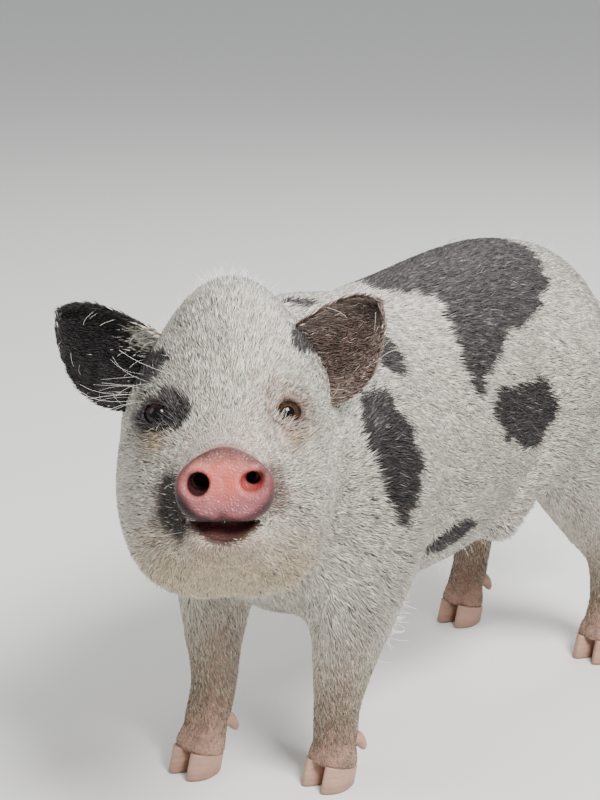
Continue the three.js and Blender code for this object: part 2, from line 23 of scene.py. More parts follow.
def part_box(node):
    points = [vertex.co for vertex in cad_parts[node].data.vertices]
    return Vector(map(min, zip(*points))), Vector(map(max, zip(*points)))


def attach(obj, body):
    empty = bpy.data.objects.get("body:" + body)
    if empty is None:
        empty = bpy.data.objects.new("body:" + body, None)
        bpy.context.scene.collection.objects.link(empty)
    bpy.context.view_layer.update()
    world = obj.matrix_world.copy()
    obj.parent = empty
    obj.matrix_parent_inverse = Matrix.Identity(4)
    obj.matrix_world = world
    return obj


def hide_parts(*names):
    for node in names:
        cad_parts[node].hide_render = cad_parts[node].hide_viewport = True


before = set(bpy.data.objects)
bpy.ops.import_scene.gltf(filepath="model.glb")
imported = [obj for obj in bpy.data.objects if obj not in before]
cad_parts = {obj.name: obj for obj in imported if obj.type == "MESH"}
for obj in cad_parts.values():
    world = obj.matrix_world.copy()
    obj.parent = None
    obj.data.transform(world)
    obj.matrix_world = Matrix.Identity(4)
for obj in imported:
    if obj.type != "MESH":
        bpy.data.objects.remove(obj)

LOG = logging.getLogger("pig")
Array = np.ndarray
Distance = Callable[[Array], Array]
Place = tuple[float, float, float]
Piece = bpy.types.Object
Node = bpy.types.Node
Material = bpy.types.Material
SEED = 20
MM = 0.001


class Side(IntEnum):
    """The pig's two sides, as the sign of X."""

    LEFT = 1
    RIGHT = -1

    @property
    def word(self) -> str:
        """The side's name in the names of pieces."""
        return self.name.lower()


def turn(yaw: float = 0.0, pitch: float = 0.0) -> Array:
    """A rotation whose columns are the turned axes.

    Args:
        yaw: degrees about Z.
        pitch: degrees about X, applied first.

    Returns:
        A 3 by 3 matrix.
    """
    a, b = math.radians(yaw), math.radians(pitch)
    about_z = np.array([[math.cos(a), -math.sin(a), 0], [math.sin(a), math.cos(a), 0], [0, 0, 1]])
    about_x = np.array([[1, 0, 0], [0, math.cos(b), -math.sin(b)], [0, math.sin(b), math.cos(b)]])
    return about_z @ about_x


def smooth_min(a: Array, b: Array, blend: float) -> Array:
    """The lesser of two distances, rounded where they are close.

    Args:
        a: one set of distances.
        b: the other set.
        blend: the width of the rounding.

    Returns:
        The blended distances.
    """
    overlap = np.maximum(blend - np.abs(a - b), 0.0) / blend
    return np.minimum(a, b) - overlap * overlap * blend * 0.25


def smooth_max(a: Array, b: Array, blend: float) -> Array:
    """The greater of two distances, rounded where they are close."""
    return -smooth_min(-a, -b, blend)


def smooth_step(low: float, high: float, value: Array) -> Array:
    """Rises smoothly from 0 at low to 1 at high."""
    t = np.clip((value - low) / (high - low), 0.0, 1.0)
    return t * t * (3.0 - 2.0 * t)


def unit(v: Array) -> Array:
    """Vectors scaled to length 1."""
    return v / (np.linalg.norm(v, axis=-1, keepdims=True) + 1e-9)


@dataclass(frozen=True)
class Egg:
    """A rounded mass."""

    at: Place
    size: Place
    blend: float = 0.0
    pitch: float = 0.0

    def distance(self, p: Array) -> Array:
        """Signed distance of each point, near the surface.

        Args:
            p: points.

        Returns:
            Distances.
        """
        q = p - np.array(self.at)
        if self.pitch:
            q = q @ turn(pitch=self.pitch)
        r = np.array(self.size)
        near = np.linalg.norm(q / r, axis=1)
        slope = np.linalg.norm(q / (r * r), axis=1) + 1e-9
        return near * (near - 1.0) / slope

    def mirrored(self, side: Side) -> Egg:
        """The same mass on one side."""
        x, y, z = self.at
        return Egg((x * side, y, z), self.size, self.blend, self.pitch)


@dataclass(frozen=True)
class Bone:
    """A tapered round length between two points."""

    start: Place
    end: Place
    radii: tuple[float, float]
    blend: float = 0.0

    def distance(self, p: Array) -> Array:
        """Signed distance of each point.

        Args:
            p: points.

        Returns:
            Distances.
        """
        a, b = np.array(self.start), np.array(self.end)
        along = b - a
        t = np.clip((p - a) @ along / (along @ along), 0.0, 1.0)
        radius = self.radii[0] + (self.radii[1] - self.radii[0]) * t
        return np.linalg.norm(p - a - t[:, None] * along, axis=1) - radius

    def mirrored(self, side: Side) -> Bone:
        """The same length on one side."""
        (ax, ay, az), (bx, by, bz) = self.start, self.end
        return Bone((ax * side, ay, az), (bx * side, by, bz), self.radii, self.blend)


@dataclass(frozen=True)
class Through:
    """A smooth curve through values at falling heights, sampled finely once."""

    heights: tuple[float, ...]
    values: tuple[float, ...]
    samples: int = 240

    def __call__(self, z: Array) -> Array:
        """The value at each height.

        Args:
            z: heights.

        Returns:
            Values.
        """
        h, v = np.array(self.heights[::-1]), np.array(self.values[::-1])
        slope = np.gradient(v, h)
        slope[1:-1] = (v[2:] - v[:-2]) / (h[2:] - h[:-2])
        grid = np.linspace(h[0], h[-1], self.samples)
        i = np.clip(np.searchsorted(h, grid, side="right") - 1, 0, len(h) - 2)
        span = h[i + 1] - h[i]
        t = (grid - h[i]) / span
        ease = t * t * (3 - 2 * t)
        curve = v[i] * (1 - ease) + v[i + 1] * ease
        curve += slope[i] * t * (1 - t) ** 2 * span + slope[i + 1] * t * t * (t - 1) * span
        return np.interp(z, grid, curve)


@dataclass(frozen=True)
class Limb:
    """A leg: the places of its axis at each station, and where the foot stands."""

    name: str
    x: tuple[float, ...]
    y: tuple[float, ...]
    foot: tuple[float, float]
    fore: bool

    FORE_HEIGHTS = (190, 156, 122, 86, 54, 30, 14)
    FORE_GIRTH = (42, 36.5, 26.5, 19, 14.6, 14.8, 16)
    HIND_HEIGHTS = (215, 176, 140, 104, 77, 46, 27, 13)
    HIND_GIRTH = (56, 43.5, 29.5, 20.5, 15.5, 13.5, 14.5, 15.5)
    PAD_SPREAD = 7.5
    PAD_BACK = 4
    PAD_HEIGHT = 16
    PAD_SIZE = (8.6, 13, 12)
    PAD_BLEND = 5
    FAR = 60.0
    NEAR = (105, 130)
    LEAN_STEP = 3

    @property
    def heights(self) -> tuple[float, ...]:
        """Heights of the stations."""
        return self.FORE_HEIGHTS if self.fore else self.HIND_HEIGHTS

    def axis(self, z: Array) -> Array:
        """Points of the leg's axis at the heights z."""
        return np.stack([Through(self.heights, self.x)(z), Through(self.heights, self.y)(z), z], -1)

    def distance(self, p: Array) -> Array:
        """Signed distance of each point, evaluated only near the leg.

        Args:
            p: body points.

        Returns:
            Distances.
        """
        out = np.full(len(p), self.FAR)
        middle = np.array([self.x[2], (min(self.y) + max(self.y)) / 2])
        near = (np.abs(p[:, :2] - middle) < self.NEAR).all(1)
        q = p[near]
        if not len(q):
            return out
        girth = Through(self.heights, self.FORE_GIRTH if self.fore else self.HIND_GIRTH)
        level = np.clip(q[:, 2], self.heights[-1], self.heights[0])
        ax, ay = Through(self.heights, self.x), Through(self.heights, self.y)
        step = self.LEAN_STEP
        lean = (ay(level + step) - ay(level - step)) / (2 * step)
        across = np.hypot(q[:, 0] - ax(level), (q[:, 1] - ay(level)) / np.hypot(1, lean))
        d = np.hypot(across, q[:, 2] - level) - girth(level)
        for side in reversed(Side):
            at = (self.foot[0] + side * self.PAD_SPREAD, self.foot[1] + self.PAD_BACK,
                  self.PAD_HEIGHT)
            d = smooth_min(d, Egg(at, self.PAD_SIZE).distance(q), self.PAD_BLEND)
        out[near] = np.minimum(d, self.FAR)
        return out


LIMBS = (
    Limb("foreleg_left", (50, 54, 55, 50, 43, 39, 37), (-112, -120, -127, -130, -128, -125, -125),
         (36, -128), True),
    Limb("foreleg_right", (-50, -50, -47, -43, -40, -38, -37),
         (-108, -122, -138, -147, -151, -160, -166), (-37, -172), True),
    Limb("hindleg_left", (34, 46, 53, 57, 58, 57, 56, 55), (84, 88, 104, 127, 146, 152, 149, 145),
         (55, 142), False),
    Limb("hindleg_right", (-34, -44, -51, -54, -56, -57, -57, -57),
         (84, 90, 104, 123, 141, 140, 134, 130), (-57, 127), False),
)


@dataclass(frozen=True)
class Form:
    """The pig's masses, and the places that other pieces are set from."""

    barrel: Egg = Egg((0, -28, 203), (84, 128, 96), pitch=4)
    trunk_masses: tuple[Egg, ...] = (
        Egg((0, -98, 198), (70, 84, 83), 30),
        Egg((0, 64, 227), (73, 103, 82), 30),
        Egg((0, 102, 221), (50, 66, 69), 24),
        Egg((4, -132, 176), (48, 50, 62), 30),
    )
    flank_fold: Bone = Bone((62, 58, 176), (57, 18, 136), (9, 7), 26)
    leg_blend: float = 21
    snout: Place = (122.0, -302.0, 260.0)
    head_yaw: float = 44.5
    head_pitch: float = -17
    neck_root: Place = (2.0, -130.0, 222.0)
    neck_bend: Place = (-4.0, -8.0, 4.0)
    skull_joint: Place = (0, 108, 12)
    neck_radii: Place = (78, 64, 50)
    poll: Place = (2, 112, 36)
    withers: Place = (0, -112, 242)
    nape_radii: tuple[float, float] = (44, 50)
    neck_blend: float = 20
    shoulder_blend: float = 30
    head_middle: Place = (0, 70, 15)
    cranium: Egg = Egg((4, 104, 50), (39, 50, 57))
    skull_masses: tuple[Egg, ...] = (
        Egg((1, 88, 36), (46, 40, 34), 18),
        Egg((0, 84, 4), (48, 52, 50), 18),
    )
    paired_masses: tuple[Egg, ...] = (
        Egg((28, 84, -14), (27, 44, 37), 18),
        Egg((31, 66, 42), (13, 17, 11), 10),
        Egg((33, 66, 25), (13, 18, 12), 12),
    )
    muzzle: Bone = Bone((0, 66, 8), (0, 25, 1.5), (39, 22.5), 18)
    jaw: Bone = Bone((14, 74, -30), (8, 21, -27), (30, 12.5), 12)

    @cached_property
    def axes(self) -> Array:
        """The head's axes as columns."""
        return turn(self.head_yaw, self.head_pitch)

    def to_head(self, p: Array) -> Array:
        """Body points in the head's frame: x to its left, y back from the snout disc, z up."""
        return (p - np.array(self.snout)) @ self.axes

    def from_head(self, q: Array) -> Array:
        """Head points in the body's frame."""
        return np.array(self.snout) + np.asarray(q, float) @ self.axes.T

    def trunk(self, p: Array) -> Array:
        """Distance to the barrel, shoulders, loin, rump and brisket.

        Args:
            p: body points.

        Returns:
            Distances.
        """
        d = self.barrel.distance(p)
        for mass in self.trunk_masses:
            d = smooth_min(d, mass.distance(p), mass.blend)
        return d

    def neck(self, p: Array) -> Array:
        """Distance to the neck and its crest.

        Args:
            p: body points.

        Returns:
            Distances.
        """
        nape = self.from_head(self.skull_joint)
        middle = (np.array(self.neck_root) + nape) / 2 + self.neck_bend
        wide, mid, narrow = self.neck_radii
        d = smooth_min(Bone(self.neck_root, tuple(middle), (wide, mid)).distance(p),
                       Bone(tuple(middle), tuple(nape), (mid, narrow)).distance(p),
                       self.neck_blend)
        crest = Bone(tuple(self.from_head(self.poll)), self.withers, self.nape_radii)
        return smooth_min(d, crest.distance(p), self.neck_blend)

    def skull(self, q: Array) -> Array:
        """Distance to the plain head, in its own frame.

        Args:
            q: head points.

        Returns:
            Distances.
        """
        d = self.cranium.distance(q)
        for mass in self.skull_masses:
            d = smooth_min(d, mass.distance(q), mass.blend)
        for mass in self.paired_masses:
            for side in Side:
                d = smooth_min(d, mass.mirrored(side).distance(q), mass.blend)
        d = smooth_min(d, self.muzzle.distance(q), self.muzzle.blend)
        for side in Side:
            d = smooth_min(d, self.jaw.mirrored(side).distance(q), self.jaw.blend)
        return d

    def body(self, p: Array) -> Array:
        """Distance to trunk, legs and neck together.

        Args:
            p: body points.

        Returns:
            Distances.
        """
        d = self.trunk(p)
        for limb in LIMBS:
            d = smooth_min(d, limb.distance(p), self.leg_blend)
        for side in Side:
            d = smooth_min(d, self.flank_fold.mirrored(side).distance(p), self.flank_fold.blend)
        return smooth_min(d, self.neck(p), self.shoulder_blend)

    def head_reach(self, q: Array) -> Array:
        """How far head points are from the head's middle."""
        return np.linalg.norm(q - self.head_middle, axis=1)


FORM = Form()


@dataclass(frozen=True)
class Face:
    """The head's fine features, in the head's frame."""

    eye_at: Place = (31.3, 53.5, 34.0)
    eye_shift: float = -1.2
    look: Place = (0.34, -0.92, 0.2)
    eye_radius: float = 9.0
    lid: float = 1.7
    slit_size: tuple[float, float] = (6.6, 5.3)
    socket: float = 2.6
    disc_half: float = 24.3
    disc_taper: float = 7.0
    disc_up: float = 19.0
    disc_down: float = 18.0
    disc_power: tuple[float, float] = (2.0, 2.8)
    disc_thick: float = 4.8
    notch: float = 3.6
    dish: float = 0.9
    fold_pitch: float = 7.5
    fold_rise: float = 0.45
    ring_pitch: float = 4.6
    ring_rise: float = 0.5
    left_nostril: tuple[Egg, Bone] = (Egg((12.8, -1, 1.8), (5.5, 6, 4.7)),
                    Bone((14.3, 0, 3.4), (12, 16, 5), (2.9, 2.4)))
    right_nostril: tuple[Egg, Bone] = (Egg((-12.9, -1, 0.8), (4.8, 7, 5.7)),
                     Bone((-12.6, -2, 1), (-11, 16, 4), (4.4, 3.4)))
    lower_lip: Egg = Egg((0, 12, -28.2), (14, 6.6, 4.2))
    mouth_top: float = -18.0
    mouth_rise: float = 0.12
    mouth_open: float = 17.0
    mouth_half_width: float = 23.0
    mouth_depth: float = 26.0
    mouth_gap: float = 8.4
    mouth_line: float = 0.9

    def eye(self, side: Side) -> Array:
        """The centre of one eye."""
        x, y, z = self.eye_at
        return np.array([x * side + self.eye_shift, y, z])

    def from_eye(self, q: Array, side: Side) -> Array:
        """How far head points are from an eye's centre."""
        return np.linalg.norm(q - self.eye(side), axis=1)

    def gaze(self, side: Side) -> Array:
        """The direction that one eye looks."""
        x, y, z = self.look
        return unit(np.array([x * side, y, z]))

    def eye_frame(self, q: Array, side: Side) -> tuple[Array, Array, Array]:
        """Places about an eye: across, up and out along its gaze.

        Args:
            q: head points.
            side: which eye.

        Returns:
            Three arrays of millimetres.
        """
        gaze = self.gaze(side)
        across = unit(np.cross(gaze, [0, 0, 1]))
        r = q - self.eye(side)
        return r @ across, r @ np.cross(across, gaze), r @ gaze

    def slit(self, q: Array, side: Side) -> Array:
        """Distance to the almond between the lids, drawn out along the gaze.

        Args:
            q: head points.
            side: which eye.

        Returns:
            Distances.
        """
        across, up, out = self.eye_frame(q, side)
        half, tall = self.slit_size
        bend = (half ** 2 + tall ** 2) / (2 * tall)
        almond = np.hypot(across, np.abs(up) + bend - tall) - bend
        return np.where(out > 0, almond, 20.0)

    def disc_width(self, z: Array) -> Array:
        """Half the disc's width at each height, less towards its top."""
        return self.disc_half - self.disc_taper * np.clip(z / self.disc_up, 0, 1) ** 2

    def disc(self, q: Array) -> Array:
        """Distance to the snout disc: a rounded shield, wider below, notched at its lower edge.

        Args:
            q: head points.

        Returns:
            Distances.
        """
        x, y, z = q.T
        above = z > 0
        tall = np.where(above, self.disc_up, self.disc_down)
        power = np.where(above, *self.disc_power)
        ring = (np.abs(x / self.disc_width(z)) ** power + np.abs(z / tall) ** power) ** (1 / power)
        notch = self.notch * np.exp(-((x / 4.5) ** 2)) * np.clip(-z / self.disc_down, 0, 1)
        dish = self.dish * np.exp(-((x / 13) ** 2 + (z / 9) ** 2))
        rim = (ring - 1) * 20 + notch
        swell = 0.9 * np.exp(-(((np.hypot(np.abs(x) - 13.9, z - 1) - 7.5) / 2.6) ** 2))
        groove = 0.5 * np.exp(-((x / 2.2) ** 2)) * (z < 4)
        face = np.abs(y - 4 - 0.03 * z - dish * 0.5) - self.disc_thick
        face = face + dish * 0.5 + groove - swell
        return smooth_max(rim, face, 5)

    def mouth(self, q: Array) -> Array:
        """Distance to the parting of the lips, its floor rising to a thin line behind.

        Args:
            q: head points.

        Returns:
            Distances.
        """
        x, y, z = q.T
        bow = np.minimum(np.abs(x), self.mouth_open)
        top = self.mouth_top + self.mouth_rise * (np.abs(x) - bow)
        tall = self.mouth_gap * (1 - (bow / self.mouth_open) ** 2) * np.interp(y, [8, 17], [1, 0.1])
        tall = np.maximum(tall, self.mouth_line)
        d = smooth_max(np.abs(z - top + tall / 2) - tall / 2, y - self.mouth_depth, 2)
        return smooth_max(d, np.abs(x) - self.mouth_half_width, 2)

    def folds(self, q: Array) -> Array:
        """Small rise and fall of wrinkled skin over the muzzle and about the eyes.

        Args:
            q: head points.

        Returns:
            Heights in millimetres.
        """
        x, y, z = q.T
        over = np.exp(-(((y - 24) / 14) ** 2)) * smooth_step(-6, 14, z)
        bands = np.sin((y + 0.012 * x * x) * 2 * math.pi / self.fold_pitch)
        rise = self.fold_rise * over * bands
        for side in Side:
            across, up, out = self.eye_frame(q, side)
            reach = np.hypot(across * 0.8, up)
            ring = np.exp(-(((reach - 11.5) / 3.2) ** 2)) * (out > 0)
            wave = np.cos((reach - self.eye_radius) * 2 * math.pi / self.ring_pitch)
            rise += self.ring_rise * ring * wave
        return rise

    def distance(self, q: Array) -> Array:
        """Distance to the head with lids, nostrils, lips and folds.

        Args:
            q: head points.

        Returns:
            Distances.
        """
        d = FORM.skull(q) - self.folds(q)
        for side in Side:
            ball = self.from_eye(q, side)
            d = smooth_min(d, ball - self.eye_radius - self.lid, 2.5)
            pit = smooth_max(self.slit(q, side), self.eye_radius - self.socket - ball, 0.8)
            d = smooth_max(d, -pit, 1.0)
        d = smooth_min(d, self.lower_lip.distance(q), 4)
        d = smooth_max(d, -self.mouth(q), 1.6)
        d = smooth_min(d, self.disc(q), 3)
        for cup, bore in (self.left_nostril, self.right_nostril):
            d = smooth_max(d, -cup.distance(q), 3)
            d = smooth_max(d, -bore.distance(q), 2)
        return d


FACE = Face()


@dataclass(frozen=True)
class Coat:
    """How deep, long and wide the hair is, and which way it lies, over the body."""

    body_depth: float = 2.6
    leg_depth: float = 1.3
    head_depth: float = 1.2
    foot_depth: float = 0.9
    muzzle_share: float = 0.15
    backward: float = 1.0
    downward: float = 0.38
    chest_downward: float = 0.2
    leg_flow: Place = (0.0, 0.3, -1.0)
    sway: float = 0.16
    sway_length: float = 60
    fan_centre: Place = (0, 60, 10)
    body_hair: float = 10.0
    leg_hair: float = 5.4
    foot_hair: float = 2.0
    head_hair: float = 8.0
    face_hair: float = 6.8
    muzzle_hair: float = 2.8
    crown_more: float = 4
    lengths: tuple[float, ...] = (2, 5, 9, 12.5, 20)
    widths: tuple[float, ...] = (0.17, 0.27, 0.31, 0.36, 0.4)
    lifts: tuple[float, ...] = (0.3, 1.1, 1.9, 2.3, 4.0)

    def bare(self, q: Array) -> Array:
        """1 on the snout, lips and lid rims, falling to 0 on haired skin, from head points.

        Args:
            q: head points.

        Returns:
            Shares from 0 to 1.
        """
        x, y, z = q.T
        disc = 1 - smooth_step(0.5, 5.0, FACE.disc(q))
        lips = (1 - smooth_step(0.4, 2.4, FACE.mouth(q))) * (1 - smooth_step(12, 22, y))
        out = np.maximum(disc, lips)
        for side in Side:
            rim = 1 - smooth_step(0.4, 2.6, FACE.slit(q, side))
            out = np.maximum(out, rim * (FACE.from_eye(q, side) < 16))
        return out

    def depth(self, p: Array) -> Array:
        """How far the skin lies inside the solids.

        Args:
            p: body points.

        Returns:
            Depths in millimetres.
        """
        q = FORM.to_head(p)
        head = 1 - smooth_step(95, 150, FORM.head_reach(q))
        leg = 1 - smooth_step(110, 150, p[:, 2])
        depth = self.body_depth + (self.leg_depth - self.body_depth) * leg
        depth = depth + self.foot_depth * (1 - smooth_step(14, 40, p[:, 2]))
        depth = depth + (self.head_depth - depth) * head
        fine = smooth_step(22, 62, q[:, 1])
        for side in Side:
            fine = fine * smooth_step(9, 22, FACE.from_eye(q, side))
        fine = fine + (1 - fine) * (1 - head)
        return depth * (self.muzzle_share + (1 - self.muzzle_share) * fine)

    def flow(self, p: Array) -> Array:
        """The direction the hair lies in, before it is laid on the surface.

        Args:
            p: body points.

        Returns:
            Unit vectors.
        """
        q = FORM.to_head(p)
        x, y, z = q.T
        head = 1 - smooth_step(100, 165, np.linalg.norm(q - self.fan_centre, axis=1))
        fan = np.stack([x * 0.9, 26 + 0.45 * np.maximum(y, 0), z * 0.8 + 4], -1)
        fan = unit(fan) @ FORM.axes.T
        low = 1 - smooth_step(95, 165, p[:, 2])
        down = -self.downward - self.chest_downward * (p[:, 1] < -60)
        body = np.stack([0.1 * np.sign(p[:, 0]), np.full(len(p), self.backward), down], -1)
        body = body * (1 - low[:, None]) + np.array(self.leg_flow) * low[:, None]
        waves = [Noise.waves(p, self.sway_length, seed) for seed in (3, 4, 5)]
        sway = self.sway * np.stack(waves, -1)
        return unit(fan * head[:, None] + unit(body) * (1 - head[:, None]) + sway)


COAT = Coat()


class Noise:
    """Smooth seeded variation over space."""

    @staticmethod
    def waves(p: Array, scale: float, seed: int, count: int = 9) -> Array:
        """A sum of sine waves in seeded directions.

        Args:
            p: points.
            scale: wavelength in millimetres.
            seed: which of the patterns.
            count: number of waves.

        Returns:
            Values of about -1 to 1.
        """
        rng = np.random.default_rng(SEED + seed)
        total = np.zeros(len(p))
        for _ in range(count):
            aim = unit(rng.normal(size=3)) * 2 * math.pi / (scale * rng.uniform(0.6, 1.5))
            total += np.sin(p @ aim + rng.uniform(0, 2 * math.pi))
        return total / math.sqrt(count) * 0.9


@dataclass(frozen=True)
class Mark:
    """A black patch: an outline in a flat chart, closed, with an uneven edge."""

    outline: tuple[tuple[float, float], ...]
    edge: float = 3.0

    def inside(self, u: Array, v: Array, warp: Array) -> Array:
        """How far inside the outline each place is, in millimetres, warped at the edge.

        Args:
            u: first chart coordinate.
            v: second chart coordinate.
            warp: millimetres to move the edge by.

        Returns:
            Positive values inside.
        """
        pts = np.array(self.outline, float)
        nxt = np.roll(pts, -1, axis=0)
        near = np.full(len(u), 1e9)
        crossings = np.zeros(len(u), int)
        for (ax, ay), (bx, by) in zip(pts, nxt):
            ex, ey = bx - ax, by - ay
            t = np.clip(((u - ax) * ex + (v - ay) * ey) / (ex * ex + ey * ey), 0, 1)
            near = np.minimum(near, np.hypot(u - ax - t * ex, v - ay - t * ey))
            spans = (ay > v) != (by > v)
            at = ax + (v - ay) / (ey if abs(ey) > 1e-9 else 1e-9) * ex
            crossings += spans & (u < at)
        return np.where(crossings % 2 == 1, near, -near) + warp * self.edge


@dataclass(frozen=True)
class Markings:
    """The black patches, shared by skin and coat."""

    axis_height: float = 205.0
    girth: float = 85.0
    neck_line: float = 112
    foot_line: float = 100
    outside: float = -50.0
    body: tuple[Mark, ...] = (
        Mark(((-54, 0), (-50, 14), (-30, 27), (-35, 42), (-42, 58), (-46, 76), (-40, 96), (-28, 86),
              (-4, 70), (34, 60), (67, 46), (84, 15), (80, -22), (48, -47), (4, -40), (-30, -36))),
        Mark(((-26, 96), (3, 96), (34, 104), (38, 123), (27, 143), (6, 147), (-19, 129),
              (-31, 111))),
        Mark(((-148, 76), (-120, 78), (-113, 101), (-110, 121), (-118, 141), (-127, 152),
              (-138, 140), (-150, 111), (-157, 90)), 2.4),
        Mark(((-116, 38), (-96, 46), (-98, 74), (-112, 66), (-120, 50)), 2),
        Mark(((-77, 192), (-66, 182), (-46, 179), (-31, 186), (-42, 197), (-58, 204)), 2.5),
        Mark(((-136, 2), (-128, -4), (-119, 3), (-122, 14), (-132, 13)), 1.5),
        Mark(((-70, -92), (-34, -86), (-18, -112), (-34, -140), (-66, -132))),
        Mark(((52, -96), (92, -92), (104, -120), (78, -142), (48, -128))),
    )
    head: tuple[Mark, ...] = (
        Mark(((-42, 38), (-37, 43), (-28, 44), (-19, 42), (-16, 36), (-19, 29), (-28, 25.5),
              (-38, 26), (-43, 31)), 1.6),
        Mark(((-60, 62), (-44, 67), (-31, 68), (-27, 62), (-33, 55), (-40, 47), (-60, 46)), 1.6),
        Mark(((36, 78), (43, 83), (56, 80), (54, 67), (40, 63), (35, 70)), 1.8),
    )
    smudges: tuple[Mark, ...] = (
        Mark(((-32, 1), (-26, 6), (-19, -3), (-16, -20), (-22, -28), (-33, -19)), 1.2),
        Mark(((20, 9), (27, 8), (30, -4), (27, -16), (19, -14)), 1.2),
    )

    def black(self, p: Array, soft: float = 1.5) -> Array:
        """How black each body point is, from 0 to 1.

        Args:
            p: body points.
            soft: half the width of a patch's edge.

        Returns:
            Shares from 0 to 1.
        """
        warp = 0.7 * Noise.waves(p, 16, 11) + 0.5 * Noise.waves(p, 7, 12)
        across = np.arctan2(p[:, 0], p[:, 2] - self.axis_height) * self.girth
        q = FORM.to_head(p)
        on_head = (q[:, 1] < self.neck_line) & (FORM.skull(q) < 8)
        deep = np.full(len(p), self.outside)
        for mark in self.body:
            within = mark.inside(p[:, 1], across, warp)
            deep = np.maximum(deep, np.where(on_head, self.outside, within))
        for mark in self.head:
            within = mark.inside(q[:, 0], q[:, 2], warp)
            deep = np.maximum(deep, np.where(on_head, within, self.outside))
        return np.where(p[:, 2] < self.foot_line, 0.0, smooth_step(-soft, soft, deep))

    def smudge(self, p: Array) -> Array:
        """Grey-brown bare skin beside the snout, from 0 to 1.

        Args:
            p: body points.

        Returns:
            Shares from 0 to 1.
        """
        q = FORM.to_head(p)
        warp = 0.7 * Noise.waves(p, 9, 13)
        deep = np.full(len(p), self.outside)
        for mark in self.smudges:
            deep = np.maximum(deep, mark.inside(q[:, 0], q[:, 2], warp))
        return smooth_step(-3.5, 3.0, deep) * (q[:, 1] < 55)


MARKINGS = Markings()


@dataclass
class Net:
    """Vertices and faces of a level of a distance field."""

    points: Array
    quads: Array

    @staticmethod
    def slope(distance: Distance, p: Array, h: float = 0.25) -> tuple[Array, Array]:
        """Unit normals of a field and the distance along them.

        Args:
            distance: the field, a function of points.
            p: points near its surface.
            h: half the step that the slope is measured over.

        Returns:
            Normals and distances.
        """
        g = np.stack([distance(p + axis * h) - distance(p - axis * h) for axis in np.eye(3)], 1)
        g /= 2 * h
        steep = np.linalg.norm(g, axis=1)
        return g / (steep[:, None] + 1e-9), distance(p) / np.maximum(steep, 0.4)

    @classmethod
    def settle(cls, distance: Distance, p: Array, reach: float, rounds: int = 2) -> Array:
        """Points moved onto the surface of a field, at most reach a round.

        Args:
            distance: the field.
            p: points.
            reach: the longest move.
            rounds: number of moves.

        Returns:
            The moved points.
        """
        for _ in range(rounds):
            normal, d = cls.slope(distance, p)
            p = p - normal * np.clip(d, -reach, reach)[:, None]
        return p

    @classmethod
    def over(cls, distance: Distance, low: Array, high: Array, cell: float,
             coarse: int = 4) -> Net:
        """The surface of a field inside a box.

        Args:
            distance: the field, a function of points.
            low: lowest corner of the box.
            high: highest corner of the box.
            cell: size of the net.
            coarse: cells a side in the blocks that the surface is first looked for in.

        Returns:
            A closed net of four-sided faces.
        """
        big = cell * coarse
        count = np.ceil((high - low) / big).astype(int)
        axes = [low[i] + big * np.arange(count[i] + 1) for i in range(3)]
        grid = np.stack(np.meshgrid(*axes, indexing="ij"), -1)
        blocks = distance(grid.reshape(-1, 3)).reshape(grid.shape[:3])
        corner = [(i, j, k) for i in (0, 1) for j in (0, 1) for k in (0, 1)]
        nx, ny, nz = blocks.shape
        eight = np.stack([blocks[i:nx - 1 + i, j:ny - 1 + j, k:nz - 1 + k] for i, j, k in corner])
        near = (eight.min(0) < big * 1.1) & (eight.max(0) > -big * 1.1)
        size = count * coarse + 1
        value = np.full(size, big, np.float32)
        sign = np.where(blocks[:-1, :-1, :-1] > 0, big, -big).astype(np.float32)
        for axis in range(3):
            sign, near = np.repeat(sign, coarse, axis), np.repeat(near, coarse, axis)
        value[:-1, :-1, :-1] = sign
        mask = np.zeros(size, bool)
        sx, sy, sz = size
        for i, j, k in corner:
            mask[i:sx - 1 + i, j:sy - 1 + j, k:sz - 1 + k] |= near
        value[mask] = distance(low + np.argwhere(mask) * cell).astype(np.float32)
        inside = value < 0
        total = sum(inside[i:sx - 1 + i, j:sy - 1 + j, k:sz - 1 + k].astype(np.int8)
                    for i, j, k in corner)
        active = (total > 0) & (total < 8)
        cells = np.argwhere(active)
        index = np.full(active.shape, -1, np.int64)
        index[active] = np.arange(len(cells))
        offset = np.array(corner)
        ends = np.stack([value[tuple((cells + o).T)] for o in offset], 1)
        sums, crossings = np.zeros((len(cells), 3)), np.zeros(len(cells))
        for a in range(8):
            for b in range(a + 1, 8):
                if np.abs(offset[b] - offset[a]).sum() != 1:
                    continue
                va, vb = ends[:, a], ends[:, b]
                cross = (va < 0) != (vb < 0)
                t = np.where(cross, va / np.where(va == vb, 1, va - vb), 0)
                sums += cross[:, None] * (offset[a] + t[:, None] * (offset[b] - offset[a]))
                crossings += cross
        points = low + (cells + sums / crossings[:, None]) * cell
        return cls(points, cls.faces(inside, index))

    @staticmethod
    def faces(inside: Array, index: Array) -> Array:
        """Four-sided faces round each grid edge that the surface crosses.

        Args:
            inside: which grid corners are inside.
            index: the vertex of each cell.

        Returns:
            Rows of four vertex numbers.
        """
        quads = []
        for axis in range(3):
            u, w = (axis + 1) % 3, (axis + 2) % 3
            first, second = [slice(1, -1)] * 3, [slice(1, -1)] * 3
            first[axis], second[axis] = slice(0, -1), slice(1, None)
            a, b = inside[tuple(first)], inside[tuple(second)]
            for flip, found in ((False, a & ~b), (True, ~a & b)):
                base = np.argwhere(found)
                if not len(base):
                    continue
                base[:, u] += 1
                base[:, w] += 1
                ring = []
                for du, dw in ((1, 1), (0, 1), (0, 0), (1, 0)):
                    c = base.copy()
                    c[:, u] -= du
                    c[:, w] -= dw
                    ring.append(index[tuple(c.T)])
                quad = np.stack(ring, 1)
                quads.append(quad[:, ::-1] if flip else quad)
        return np.concatenate(quads)


